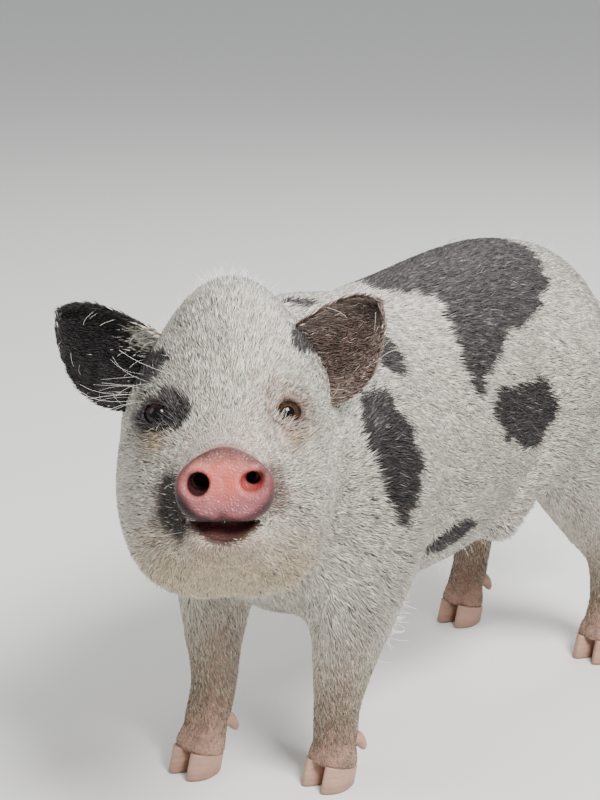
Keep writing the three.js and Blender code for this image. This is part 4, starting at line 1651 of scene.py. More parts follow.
class Tufts:
    """Grows the coat: thin closed slivers of four faces over the patches."""

    LIMIT = 47000
    BEND = 0.38
    SUNK = 0.5
    DAB = 0.0014
    MARGIN = 0.01
    CELL_SIZE = 0.313
    TRUNK_FRONT = -230
    TRUNK_LENGTH = 420
    HEAD_END = 122
    HEAD_POLE = (0, 75, 10)
    LEG_TOP = 128
    LEG_LENGTH = 130
    SWAY = 0.2
    SWAY_LENGTH = 9
    SPREAD = 0.17
    TRUNK_CELLS = {20: "trunk_right", 21: "trunk_left"}
    CELLS = ("trunk", "head", "foreleg_left", "foreleg_right", "hindleg_left", "hindleg_right",
             "ear_left", "ear_right", "tail")

    @classmethod
    def sample(cls, patch: Patch, rng: np.random.Generator) -> dict[str, Array]:
        """Draws places on a patch and what grows there.

        Args:
            patch: the surface.
            rng: the random source.

        Returns:
            Arrays by name, one row a tuft.
        """
        a, b, c = (patch.points[patch.triangles[:, i]] for i in range(3))
        area = np.linalg.norm(np.cross(b - a, c - a), axis=1) / 2
        want = area * patch.density[patch.triangles].mean(1)
        count = int(want.sum())
        steps = (np.arange(count) + rng.random(count)) / count * want.sum()
        pick = np.clip(np.searchsorted(np.cumsum(want), steps), 0, len(want) - 1)
        r1, r2 = np.sqrt(rng.random(count)), rng.random(count)
        weight = np.stack([1 - r1, r1 * (1 - r2), r1 * r2], 1)
        tri = patch.triangles[pick]
        out = {}
        for name in Patch.FIELDS:
            values = getattr(patch, name)[tri]
            shape = (slice(None), slice(None)) + (None,) * (values.ndim - 2)
            out[name] = (values * weight[shape]).sum(1)
        nearest = tri[np.arange(count), weight.argmax(1)]
        if patch.fresh:
            black = MARKINGS.black(out["points"], 1.2)
            out["root_hue"], out["tip_hue"] = Skin.hair_hues(out["points"], black, 50)
        else:
            is_dark = (rng.random(count) < (patch.dark[tri] * weight).sum(1))[:, None]
            hue = np.where(is_dark, out["root_hue"], out["tip_hue"])
            hue = hue * rng.uniform(0.7, 1.15, (count, 1))
            # Painted shade: each root is darker than its tip, for the shade deep in the coat.
            out["root_hue"], out["tip_hue"] = hue * 0.7, hue
            out["chart"] = patch.chart[nearest]
        return out

    @classmethod
    def charts(cls, name: str, s: dict[str, Array]) -> tuple[Array, Array]:
        """Which part each root belongs to, and its place on the unwrap of the skin.

        Args:
            name: the patch's name.
            s: the drawn places.

        Returns:
            Part numbers, and places from 0 to 1 on the whole unwrap.
        """
        p = s["points"]
        part = np.zeros(len(p), int)
        place = s["chart"].copy()
        if name != "body":
            part[:] = cls.CELLS.index(name)
        else:
            q = FORM.to_head(p)
            around = np.arctan2(p[:, 0], p[:, 2] - MARKINGS.axis_height) / (2 * np.pi) + 0.5
            place = np.stack([(p[:, 1] - cls.TRUNK_FRONT) / cls.TRUNK_LENGTH, around], -1)
            on_head = q[:, 1] < cls.HEAD_END
            r = unit(q - cls.HEAD_POLE)
            round_ = np.arctan2(r[:, 0], r[:, 2]) / (2 * np.pi) + 0.5
            ball = np.stack([np.arccos(np.clip(-r[:, 1], -1, 1)) / np.pi, round_], -1)
            part[on_head], place[on_head] = 1, ball[on_head]
            for i, limb in enumerate(LIMBS):
                own = (p[:, 2] < cls.LEG_TOP) & (limb.distance(p) < 6) & ~on_head
                axis = limb.axis(np.clip(p[:, 2], limb.heights[-1], limb.heights[0]))
                turned = np.arctan2(p[:, 0] - axis[:, 0], p[:, 1] - axis[:, 1]) / (2 * np.pi) + 0.5
                part[own] = 2 + i
                place[own] = np.stack([p[:, 2] / cls.LEG_LENGTH, turned], -1)[own]
        corner = np.stack([part % 3, part // 3], -1) / 3
        return part, corner + cls.MARGIN + np.clip(place, 0, 1) * cls.CELL_SIZE

    @classmethod
    def shape(cls, s: dict[str, Array], rng: np.random.Generator) -> tuple[Array, Array]:
        """Vertices and colours of the tufts, four a tuft.

        Args:
            s: the drawn places.
            rng: the random source.

        Returns:
            Points and colours, each an array of tufts by four by three.
        """
        n = unit(s["normals"])
        count = len(n)
        waves = [Noise.waves(s["points"], cls.SWAY_LENGTH, 60 + i) for i in range(3)]
        sway = cls.SWAY * np.stack(waves, -1)
        lie = s["flow"] + sway + rng.normal(size=(count, 3)) * cls.SPREAD
        lie = unit(lie - n * (lie * n).sum(1, keepdims=True))
        across = np.cross(n, lie)
        length = (s["length"] * rng.uniform(0.65, 1.25, count))[:, None]
        lift = (s["lift"] * rng.uniform(0.5, 1.35, count))[:, None]
        width = (s["width"] * rng.uniform(0.75, 1.2, count))[:, None]
        root = s["points"] - n * cls.SUNK
        mid = s["points"] + lie * length * cls.BEND + n * lift * 0.62
        tip = s["points"] + lie * length + n * lift * 0.85
        points = np.stack([root, mid + across * width / 2, mid - across * width / 2, tip], 1)
        half = s["root_hue"] * 0.45 + s["tip_hue"] * 0.55
        hues = np.stack([s["root_hue"], half, half, s["tip_hue"]], 1)
        return points, hues

    @classmethod
    def build(cls, patches: list[Patch]) -> list[Piece]:
        """Makes every piece of the coat.

        Args:
            patches: the haired surfaces.

        Returns:
            The pieces.
        """
        pieces = []
        for order, patch in enumerate(patches):
            rng = np.random.default_rng(SEED + 70 + order)
            s = cls.sample(patch, rng)
            part, place = cls.charts(patch.name, s)
            points, hues = cls.shape(s, rng)
            group = np.where(part > 0, part, 20 + (s["points"][:, 0] > 0))
            for number in np.unique(group):
                own = np.flatnonzero(group == number)
                label = cls.TRUNK_CELLS.get(number) or cls.CELLS[number]
                for k in range(0, len(own), cls.LIMIT):
                    some = own[k:k + cls.LIMIT]
                    name = f"coat_{label}_{k // cls.LIMIT + 1}"
                    pieces.append(cls.piece(name, points[some], hues[some], place[some]))
        return pieces

    @classmethod
    def piece(cls, name: str, points: Array, hues: Array, place: Array) -> Piece:
        """One object of tufts, with its colours and its places on the unwrap.

        Args:
            name: its name.
            points: four vertices a tuft.
            hues: their colours.
            place: a place on the unwrap for each tuft.

        Returns:
            The piece.
        """
        count = len(points)
        local = np.array([[0, 1, 2], [3, 2, 1], [0, 3, 1], [3, 0, 2]])
        faces = (local[None] + 4 * np.arange(count)[:, None, None]).reshape(-1, 3)
        piece = make_mesh(name, points.reshape(-1, 3), faces)
        paint(piece, "hue", np.clip(hues.reshape(-1, 3), 0, 1))
        dab = np.array([[0, -1], [1, 0], [-1, 0], [0, 1]]) * cls.DAB
        corner = (place[:, None] + dab[None]).reshape(-1, 2)
        uv = piece.data.uv_layers.new(name="OFBake")
        uv.data.foreach_set("uv", corner[faces.ravel()].astype(np.float32).ravel())
        LOG.info("%s: %d tufts", name, count)
        return piece


class Graph:
    """A node tree being built, with one function that adds a node."""

    def __init__(self, tree: bpy.types.NodeTree) -> None:
        """Empties the tree.

        Args:
            tree: the node tree to fill.
        """
        self.tree = tree
        tree.nodes.clear()

    def add(self, kind: str, settings: dict | None = None, **inputs: object) -> Node:
        """Adds a node with its settings, its values and its links.

        Args:
            kind: the node's type name.
            settings: properties of the node itself.
            inputs: a value, an output socket, or a node for its first output, for each input
                by its name with underscores, or by n and its number.

        Returns:
            The new node.
        """
        node = self.tree.nodes.new(kind)
        for name, value in (settings or {}).items():
            setattr(node, name, value)
        for name, value in inputs.items():
            by_number = name[0] == "n" and name[1:].isdigit()
            socket = node.inputs[int(name[1:]) if by_number else name.replace("_", " ")]
            if isinstance(value, Node):
                value = value.outputs[0]
            if isinstance(value, bpy.types.NodeSocket):
                self.tree.links.new(value, socket)
            else:
                socket.default_value = value
        return node


def pattern(size: float) -> float:
    """The scale of a texture whose features are a size in millimetres."""
    return 1 / (size * MM)


@dataclass(frozen=True)
class Finish:
    """A material, named for the real one, whose shader each kind of finish builds."""

    name: str

    def make(self) -> Material:
        """Builds the material.

        Returns:
            The new material.
        """
        material = bpy.data.materials.new(self.name)
        material.use_nodes = True
        g = Graph(material.node_tree)
        g.add("ShaderNodeOutputMaterial", Surface=self.shader(g).outputs["BSDF"])
        return material

    @staticmethod
    def painted(g: Graph) -> bpy.types.NodeSocket:
        """The colour stored on the piece's vertices."""
        return g.add("ShaderNodeAttribute", {"attribute_name": "hue"}).outputs["Color"]

    @staticmethod
    def principled(g: Graph, extra: dict[str, object], **inputs: object) -> Node:
        """The surface shader, with further constants set on its own sockets.

        Args:
            g: the tree.
            extra: values by the name of the socket.
            inputs: values and links as for Graph.add.

        Returns:
            The shader's node.
        """
        shader = g.add("ShaderNodeBsdfPrincipled", **inputs)
        for socket, value in extra.items():
            shader.inputs[socket].default_value = value
        return shader


@dataclass(frozen=True)
class SkinFinish(Finish):
    """Young pig's skin: thin, dry and finely creased, but moist on the snout and lips.

    To the eye it is soft pink that glows a little at its edges, mottled by the blood below.
    The sizes of its mottling, folds, creases and grain are in millimetres.
    """

    name: str = "pig_skin"
    mottle: float = 8.333
    fold: float = 3.846
    crease: float = 1.923
    grain: float = 0.6667
    relief: float = 0.6
    glow: float = 1.3
    ior: float = 1.4

    def shader(self, g: Graph) -> Node:
        """Blotched colour under creased relief, glossier where the skin is bare and wet.

        Args:
            g: the material's tree.

        Returns:
            The shader's node.
        """
        at = g.add("ShaderNodeTexCoord").outputs["Object"]
        bare = g.add("ShaderNodeAttribute", {"attribute_name": "bare"}).outputs["Fac"]
        blush = g.add("ShaderNodeTexNoise", Vector=at, Scale=pattern(self.mottle), Detail=5.0,
                      Roughness=0.6)
        ramp = g.add("ShaderNodeMapRange", Value=blush, From_Min=0.3, From_Max=0.7,
                     To_Min=0.78, To_Max=1.14)
        tone = g.add("ShaderNodeVectorMath", {"operation": "SCALE"}, n0=self.painted(g), Scale=ramp)
        creases = g.add("ShaderNodeTexVoronoi", {"feature": "DISTANCE_TO_EDGE"}, Vector=at,
                        Scale=pattern(self.crease))
        crease = g.add("ShaderNodeMapRange", Value=creases, From_Max=0.22)
        grain = g.add("ShaderNodeTexNoise", Vector=at, Scale=pattern(self.grain), Detail=3.0,
                      Roughness=0.6)
        fold = g.add("ShaderNodeTexNoise", Vector=at, Scale=pattern(self.fold), Detail=3.0,
                     Roughness=0.5)
        relief = g.add("ShaderNodeMath", {"operation": "MULTIPLY_ADD"}, n0=grain,
                       n1=0.35, n2=crease)
        both = g.add("ShaderNodeMath", {"operation": "ADD"}, n0=relief, n1=fold)
        firm = g.add("ShaderNodeMapRange", Value=bare, To_Min=0.6, To_Max=0.45)
        bump = g.add("ShaderNodeBump", Strength=firm, Distance=self.relief * MM, Height=both)
        rough = g.add("ShaderNodeMapRange", Value=bare, To_Min=0.62, To_Max=0.36)
        glow = {"Subsurface Weight": 0.12, "Subsurface Radius": (1.0, 0.35, 0.2),
                "Subsurface Scale": self.glow * MM, "Specular IOR Level": 0.4}
        return self.principled(g, glow, Base_Color=tone, IOR=self.ior, Roughness=rough, Normal=bump)


@dataclass(frozen=True)
class BristleFinish(Finish):
    """Pig bristle: coarse hair of keratin, smooth and faintly waxy, so it shines in streaks."""

    name: str = "pig_bristle"
    roughness: float = 0.5
    ior: float = 1.55

    def shader(self, g: Graph) -> Node:
        """The hair's own colour with a low soft shine."""
        sheen = {"Specular IOR Level": 0.22, "Sheen Weight": 0.05, "Sheen Roughness": 0.5}
        return self.principled(g, sheen, Base_Color=self.painted(g), Roughness=self.roughness,
                               IOR=self.ior)


@dataclass(frozen=True)
class HornFinish(Finish):
    """Hoof horn: keratin grown in rings, pinkish tan, dull, scuffed and darker at the ground.

    The spacing of its rings, its clouds, its relief and the height of the dirt are millimetres.
    """

    name: str = "hoof_horn"
    ring: float = 3.307
    cloud: float = 4.762
    relief: float = 0.4
    dirt: float = 8.0
    roughness: float = 0.5
    ior: float = 1.55

    def shader(self, g: Graph) -> Node:
        """Clouded tan, darker low down, over rings; a wave texture has 20 radians a unit.

        Args:
            g: the material's tree.

        Returns:
            The shader's node.
        """
        at = g.add("ShaderNodeTexCoord").outputs["Object"]
        rings = g.add("ShaderNodeTexWave", {"bands_direction": "Z"}, Vector=at, Distortion=3.0,
                      Scale=pattern(self.ring) * math.tau / 20, Detail=2.0, Detail_Scale=2.0)
        cloud = g.add("ShaderNodeTexNoise", Vector=at, Scale=pattern(self.cloud), Detail=5.0,
                      Roughness=0.65)
        height = g.add("ShaderNodeSeparateXYZ", Vector=at)
        low = g.add("ShaderNodeMapRange", Value=height.outputs["Z"],
                    From_Max=self.dirt * MM, To_Min=0.55, To_Max=0.0)
        dirt = g.add("ShaderNodeMath", {"operation": "MULTIPLY_ADD", "use_clamp": True},
                     n0=cloud, n1=0.55, n2=low)
        tone = g.add("ShaderNodeMix", {"data_type": "RGBA"}, Factor=dirt,
                     n6=(*Hue.HORN.light, 1.0), n7=(*Hue.HORN_DARK.light, 1.0))
        relief = g.add("ShaderNodeMath", {"operation": "ADD"}, n0=rings.outputs["Fac"], n1=cloud)
        bump = g.add("ShaderNodeBump", Strength=0.4, Distance=self.relief * MM, Height=relief)
        return self.principled(g, {}, Base_Color=tone.outputs[2], Roughness=self.roughness,
                               Normal=bump, IOR=self.ior)


@dataclass(frozen=True)
class EyeFinish(Finish):
    """A living eye: brown iris behind a wet clear cornea, so it is dark with a sharp glint."""

    name: str = "wet_eye"
    fibre: float = 1.111
    roughness: float = 0.12
    ior: float = 1.38

    def shader(self, g: Graph) -> Node:
        """The iris's colour, flecked by its fibres, under a wet coat.

        Args:
            g: the material's tree.

        Returns:
            The shader's node.
        """
        at = g.add("ShaderNodeTexCoord").outputs["Object"]
        fibre = g.add("ShaderNodeTexNoise", Vector=at, Scale=pattern(self.fibre), Detail=3.0)
        shade = g.add("ShaderNodeMapRange", Value=fibre, From_Min=0.3,
                      From_Max=0.7, To_Min=0.75, To_Max=1.25)
        tone = g.add("ShaderNodeVectorMath", {"operation": "SCALE"}, n0=self.painted(g),
                     Scale=shade)
        wet = {"Specular IOR Level": 0.1, "Coat Weight": 0.6, "Coat Roughness": 0.03,
               "Coat IOR": self.ior}
        return self.principled(g, wet, Base_Color=tone, Roughness=self.roughness, IOR=self.ior)


@dataclass(frozen=True)
class BoardFinish(Finish):
    """Matt painted board for the studio floor: pale and even, with no shine."""

    name: str = "studio_board"
    roughness: float = 0.85

    def shader(self, g: Graph) -> Node:
        """One even colour."""
        return self.principled(g, {}, Base_Color=(*Hue.FLOOR.light, 1.0), Roughness=self.roughness)


@dataclass
class Eye:
    """An eyeball with a domed cornea, iris and level oval pupil."""

    side: Side
    iris: float = 4.9
    pupil: tuple[float, float] = (3.6, 2.8)
    gaze: Place = (0.22, -0.96, 0.16)
    inset: float = 0.15
    dome: float = 0.5
    rings: int = 72
    sides: int = 72

    def build(self) -> Piece:
        """The ball, coloured by its distance from the gaze.

        Returns:
            The eyeball.
        """
        gaze = unit(np.array([self.gaze[0] * self.side, *self.gaze[1:]]))
        across = unit(np.cross(gaze, [0, 0, 1]))
        up = np.cross(across, gaze)
        angle = np.pi * np.linspace(0, 1, self.rings + 1)[1:-1] ** 1.35
        round_ = 2 * np.pi * np.arange(self.sides) / self.sides
        a, b = (v.ravel() for v in np.meshgrid(angle, round_, indexing="ij"))
        radius = FACE.eye_radius - self.inset
        reach = radius * np.sin(a)
        swell = radius + self.dome * np.exp(-((a / 0.5) ** 4))
        aim = (np.cos(a)[:, None] * gaze + (np.sin(a) * np.cos(b))[:, None] * across
               + (np.sin(a) * np.sin(b))[:, None] * up)
        points = np.vstack([FACE.eye(self.side) + aim * swell[:, None],
                            FACE.eye(self.side) + gaze * (radius + self.dome),
                            FACE.eye(self.side) - gaze * radius])
        reach = np.append(reach, [0, 0])
        a, b = np.append(a, [0, np.pi]), np.append(b, [0, 0])
        oval = np.hypot(reach * np.cos(b) / self.pupil[0], reach * np.sin(b) / self.pupil[1])
        front = a < np.pi / 2
        iris = (1 - smooth_step(self.iris - 0.35, self.iris + 0.25, reach)) * front
        edge = smooth_step(self.iris - 1.4, self.iris - 0.2, reach) * iris
        brown, white = Hue.IRIS.light, Hue.SCLERA.light
        # Painted shade: the right eye's iris and white are darkened, so it looks darker than the
        # left eye.
        if self.side is Side.RIGHT:
            brown, white = Hue.IRIS_EDGE.light * 0.6, Hue.IRIS_EDGE.light * 0.4
        streak = 0.5 + 0.5 * np.sin(b * 37 + 2 * np.sin(b * 11))
        hues = mixed(np.tile(white, (len(a), 1)), brown, iris)
        hues = hues * (1 + 0.3 * (streak * iris * (1 - edge))[:, None])
        hues = mixed(hues, Hue.IRIS_EDGE, edge * 0.8)
        hues = mixed(hues, Hue.PUPIL, (1 - smooth_step(0.88, 1.08, oval)) * front)
        at = np.arange(len(angle) * self.sides).reshape(len(angle), self.sides)
        nxt = np.roll(at, -1, 1)
        quads = np.stack([at[:-1], at[1:], nxt[1:], nxt[:-1]], -1).reshape(-1, 4)
        top, bottom = len(points) - 2, len(points) - 1
        caps = [np.stack([np.full(self.sides, top), at[0], nxt[0]], 1),
                np.stack([np.full(self.sides, bottom), nxt[-1], at[-1]], 1)]
        faces = np.concatenate([Surface.split(quads), *caps])
        piece = make_mesh(f"eyeball_{self.side.word}", FORM.from_head(points),
                          Surface.outward(points, faces))
        paint(piece, "hue", hues)
        return piece


@dataclass
class Hooves:
    """The two claws and two dewclaws of one foot."""

    limb: Limb
    width: float = 16
    length: float = 28
    back: float = 3
    cleft: float = 1.4
    lean: float = 4
    sides: int = 64
    rings: int = 18
    dewclaw_height: float = 31.0
    dewclaw_drop: float = 10
    dewclaw_reach: float = 8.5
    dewclaw_radius: float = 4.8
    dewclaw_spread: float = 7.5
    dewclaw_sides: int = 24
    dewclaw_rings: int = 16
    CORONET = 14.5
    SLOPE = 0.28
    PROFILE = ((0, 0.04, 0.1, 0.5, 1), (0.9, 0.965, 1.0, 0.97, 0.94))

    def claw(self, side: Side) -> tuple[Array, Array]:
        """Points and triangles of one main claw.

        Args:
            side: which claw of the foot.

        Returns:
            Vertices and triangles.
        """
        x0, y0 = self.limb.foot
        levels = np.concatenate([[0, 0.02, 0.05], np.linspace(0.1, 1, self.rings)])
        angle = 2 * np.pi * np.arange(self.sides) / self.sides
        h, s = (v.ravel() for v in np.meshgrid(levels, angle, indexing="ij"))
        scale = np.interp(h, *self.PROFILE) + 0.006 * np.sin(h * 19) * (h > 0.15) * (h < 0.98)
        toe = np.maximum(-np.sin(s), 0)
        across = np.cos(s) * (1 - 0.35 * toe ** 3)
        inward = np.sign(across) != side
        x = x0 + side * (self.cleft / 2 + self.width * 0.43)
        x = x + across * self.width / 2 * np.where(inward, 0.86, 1) * scale
        along = y0 + self.back + np.sin(s) * self.length / 2 * scale
        z = h * (self.CORONET - self.SLOPE * (along - y0) - 0.15)
        points = np.stack([x, along - self.lean * (1 - h), z], 1)
        return self.closed(points, len(levels))

    def dewclaw(self, side: Side) -> tuple[Array, Array]:
        """Points and triangles of one dewclaw, rooted inside the leg.

        Args:
            side: which claw of the foot.

        Returns:
            Vertices and triangles.
        """
        root = self.limb.axis(np.array([self.dewclaw_height]))[0]
        centre = root + [side * self.dewclaw_spread, 8, 0]
        angle = (2 * np.pi * np.arange(self.dewclaw_sides) / self.dewclaw_sides)[:, None]
        rings = []
        for t in np.linspace(-0.35, 1, self.dewclaw_rings):
            size = self.dewclaw_radius * math.sqrt(1 - 0.86 * max(t, 0) ** 2)
            size *= 1 if t < 0.93 else 0.8
            along = unit(np.array([0, 1, -1.2 * max(t, 0)]))
            over = unit(np.cross(along, [1.0, 0, 0]))
            across = np.cross(over, along)
            middle = centre + [side * 2 * t, self.dewclaw_reach * t,
                               -self.dewclaw_drop * t * abs(t)]
            rings.append(middle + size * (np.cos(angle) * across + np.sin(angle) * over))
        return self.closed(np.concatenate(rings), self.dewclaw_rings)

    @staticmethod
    def closed(points: Array, count: int) -> tuple[Array, Array]:
        """Joins rings into a closed form with a fan at each end.

        Args:
            points: rings of vertices, one after another.
            count: number of rings.

        Returns:
            Vertices and triangles.
        """
        sides = len(points) // count
        at = np.arange(len(points)).reshape(count, sides)
        nxt = np.roll(at, -1, 1)
        quads = np.stack([at[:-1], nxt[:-1], nxt[1:], at[1:]], -1).reshape(-1, 4)
        low, high = len(points), len(points) + 1
        points = np.vstack([points, points[at[0]].mean(0), points[at[-1]].mean(0)])
        fans = [np.stack([np.full(sides, low), nxt[0], at[0]], 1),
                np.stack([np.full(sides, high), at[-1], nxt[-1]], 1)]
        return points, np.concatenate([Surface.split(quads), *fans])

    def build(self, material: Material) -> None:
        """Makes and dresses the foot's four pieces, each standing for its solid.

        Args:
            material: the horn.
        """
        name = self.limb.name.replace("leg", "foot")
        for side, letter in zip(Side, "ab"):
            for kind, make in (("hoof", self.claw), ("dewclaw", self.dewclaw)):
                points, faces = make(side)
                node = f"{name}_{kind}_{letter}"
                piece = make_mesh(f"{node}_horn", points, Surface.outward(points, faces))
                dress(piece, material, "horn", node)


def dress(piece: Piece, material: Material, slot: str, *nodes: str) -> None:
    """Gives a piece its finish, its body and the solids that it stands for.

    Args:
        piece: the object.
        material: its finish.
        slot: the record's material slot; not used.
        nodes: solids that it replaces.
    """
    if not piece.data.materials:
        piece.data.materials.append(material)
    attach(piece, "root")
    if nodes:
        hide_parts(*nodes)
    LOG.info("%s: %d faces", piece.name, len(piece.data.polygons))


@dataclass
class Bristles:
    """Long separate hairs, made by Geometry Nodes on a cloud of roots."""

    material: Material
    segments: int = 5
    sides: int = 4
    bend: float = 0.3

    STEP = 2.4

    def tree(self) -> bpy.types.NodeTree:
        """The node tree: a tapered bent hair set on every root, made real, with its material.

        Returns:
            The tree.
        """
        tree = bpy.data.node_groups.new("bristles", "GeometryNodeTree")
        for label, kind in (("Roots", "Geometry"), ("Segments", "Int"), ("Sides", "Int"),
                            ("Bend", "Float"), ("Thickness", "Float")):
            tree.interface.new_socket(label, in_out="INPUT", socket_type=f"NodeSocket{kind}")
        tree.interface.new_socket("Hairs", in_out="OUTPUT", socket_type="NodeSocketGeometry")
        g = Graph(tree)
        given = g.add("NodeGroupInput").outputs
        reach = g.add("ShaderNodeCombineXYZ", X=given["Bend"], Z=1.0)
        stem = g.add("GeometryNodeCurvePrimitiveBezierSegment", Resolution=given["Segments"],
                     Start=(0, 0, 0), Start_Handle=(0, 0, 0.4), End_Handle=(0.03, 0, 0.75),
                     End=reach)
        along = g.add("GeometryNodeSplineParameter").outputs["Factor"]
        taper = g.add("ShaderNodeMapRange", Value=along, To_Min=1.0, To_Max=0.1)
        stem = g.add("GeometryNodeSetCurveRadius", Curve=stem, Radius=taper)
        ring = g.add("GeometryNodeCurvePrimitiveCircle", Resolution=given["Sides"],
                     Radius=given["Thickness"])
        hair = g.add("GeometryNodeCurveToMesh", Curve=stem, Profile_Curve=ring, Fill_Caps=True)
        aim, size, spin = (g.add("GeometryNodeInputNamedAttribute", {"data_type": kind}, Name=label)
            for label, kind in (("aim", "FLOAT_VECTOR"), ("size", "FLOAT_VECTOR"),
                                ("spin", "FLOAT")))
        twist = g.add("FunctionNodeAxisAngleToRotation", Axis=(0, 0, 1), Angle=spin)
        lean = g.add("FunctionNodeAlignRotationToVector", {"axis": "Z"}, Vector=aim)
        pose = g.add("FunctionNodeRotateRotation", {"rotation_space": "LOCAL"},
                     Rotation=lean, Rotate_By=twist)
        many = g.add("GeometryNodeInstanceOnPoints", Points=given["Roots"],
                     Instance=hair, Rotation=pose, Scale=size)
        real = g.add("GeometryNodeRealizeInstances", Geometry=many)
        smooth = g.add("GeometryNodeSetShadeSmooth", Geometry=real)
        done = g.add("GeometryNodeSetMaterial", Geometry=smooth, Material=self.material)
        g.add("NodeGroupOutput", Hairs=done)
        return tree

    def grow(self, name: str, s: dict[str, Array]) -> Piece:
        """Grows one piece of hairs.

        Args:
            name: the piece's name.
            s: points, aim, length, width, hue, place on the unwrap, a row for each hair.

        Returns:
            A plain mesh object.
        """
        rng = np.random.default_rng(SEED + 400 + len(s["points"]))
        mesh = bpy.data.meshes.new(name + "_roots")
        count = len(s["points"])
        mesh.vertices.add(count)
        mesh.vertices.foreach_set("co", Frame.row(s["points"]).astype(np.float32).ravel())
        size = np.repeat(s["length"][:, None], 3, 1) * MM
        thickness = float(s["width"].mean() / s["length"].mean() / 2)
        place = np.column_stack([s["place"], np.zeros(count)])
        for label, values in (("aim", unit(s["aim"])), ("size", size), ("place", place)):
            layer = mesh.attributes.new(label, "FLOAT_VECTOR", "POINT")
            layer.data.foreach_set("vector", values.astype(np.float32).ravel())
        layer = mesh.attributes.new("spin", "FLOAT", "POINT")
        spin = rng.uniform(0, 6.28, count)
        layer.data.foreach_set("value", spin.astype(np.float32))
        rgba = np.column_stack([s["hue"], np.ones(count)]).astype(np.float32)
        mesh.attributes.new("hue", "FLOAT_COLOR", "POINT").data.foreach_set("color", rgba.ravel())
        roots = bpy.data.objects.new(name + "_roots", mesh)
        bpy.context.scene.collection.objects.link(roots)
        tree = self.tree()
        modifier = roots.modifiers.new("bristles", "NODES")
        modifier.node_group = tree
        values = {"Segments": self.segments, "Sides": self.sides, "Bend": self.bend,
                  "Thickness": thickness}
        for item in tree.interface.items_tree:
            if item.name in values:
                modifier[item.identifier] = values[item.name]
        bpy.context.view_layer.update()
        evaluated = roots.evaluated_get(bpy.context.evaluated_depsgraph_get())
        out = bpy.data.meshes.new_from_object(evaluated)
        out.name = name
        piece = bpy.data.objects.new(name, out)
        bpy.context.scene.collection.objects.link(piece)
        bpy.data.objects.remove(roots)
        self.unwrap(out)
        return piece

    @staticmethod
    def unwrap(mesh: bpy.types.Mesh) -> None:
        """Lays each hair as a small dab at its root's place on the unwrap.

        Args:
            mesh: the hairs.
        """
        place = np.zeros(len(mesh.vertices) * 3, np.float32)
        mesh.attributes["place"].data.foreach_get("vector", place)
        place = place.reshape(-1, 3)[:, :2]
        corner = np.zeros(len(mesh.loops), np.int32)
        mesh.loops.foreach_get("vertex_index", corner)
        around = np.arange(len(corner)) * Bristles.STEP
        dab = np.stack([np.cos(around), np.sin(around)], 1) * Tufts.DAB
        uv = mesh.uv_layers.new(name="OFBake")
        uv.data.foreach_set("uv", (place[corner] + dab).astype(np.float32).ravel())


@dataclass(frozen=True)
class Growth:
    """One kind of long hair: how many, how long and thick, and which way it points.

    Its aim adds parts of the coat's flow and of the skin's normal to a way of its own.
    """

    name: str
    count: int
    seeds: tuple[int, int]
    length: tuple[float, float]
    width: float
    flow: float = 0.0
    normal: float = 0.0
    way: Place = (0.0, 0.0, 0.0)
    hue: Hue = Hue.WHITE_HAIR
    marked: bool = False

    ROOT = 0.4
    SPREAD = 0.16

    def drawn(self, patch: Patch, weight: Array) -> dict[str, Array]:
        """Draws roots over a patch.

        Args:
            patch: the haired surface.
            weight: how likely a root is at each vertex.

        Returns:
            Arrays by name, one row a hair.
        """
        a, b, c = (patch.points[patch.triangles[:, i]] for i in range(3))
        area = np.linalg.norm(np.cross(b - a, c - a), axis=1) / 2
        total = (area * weight[patch.triangles].mean(1)).sum()
        kept, patch.density = patch.density, weight * self.count / max(total, 1e-6)
        s = Tufts.sample(patch, np.random.default_rng(SEED + self.seeds[0]))
        patch.density = kept
        s["normals"] = unit(s["normals"])
        _, s["place"] = Tufts.charts(patch.name, s)
        s["points"] = s["points"] - s["normals"] * self.ROOT
        return s

    def grow(self, bristles: Bristles, patch: Patch, weight: Array) -> Piece:
        """Grows the hairs on a patch.

        Args:
            bristles: what makes the hairs.
            patch: the haired surface.
            weight: how likely a root is at each vertex.

        Returns:
            The piece.
        """
        s = self.drawn(patch, weight)
        rng = np.random.default_rng(SEED + self.seeds[1])
        count = len(s["points"])
        aim = s["flow"] * self.flow + np.array(self.way) + s["normals"] * self.normal
        s["aim"] = unit(aim + rng.normal(size=(count, 3)) * self.SPREAD)
        s["length"] = rng.uniform(*self.length, count)
        s["width"] = self.width * rng.uniform(0.7, 1.2, count)
        hue = evenly(self.hue, count)
        if self.marked:
            hue = mixed(hue, Hue.BLACK_HAIR, MARKINGS.black(s["points"]))
        s["hue"] = np.clip(hue * rng.uniform(0.8, 1.1, (count, 1)), 0, 1)
        return bristles.grow(self.name, s)


def head_way(left: float, back: float, up: float) -> Place:
    """A direction in the head's frame, as one in the body's."""
    return tuple(FORM.axes @ np.array([left, back, up]))


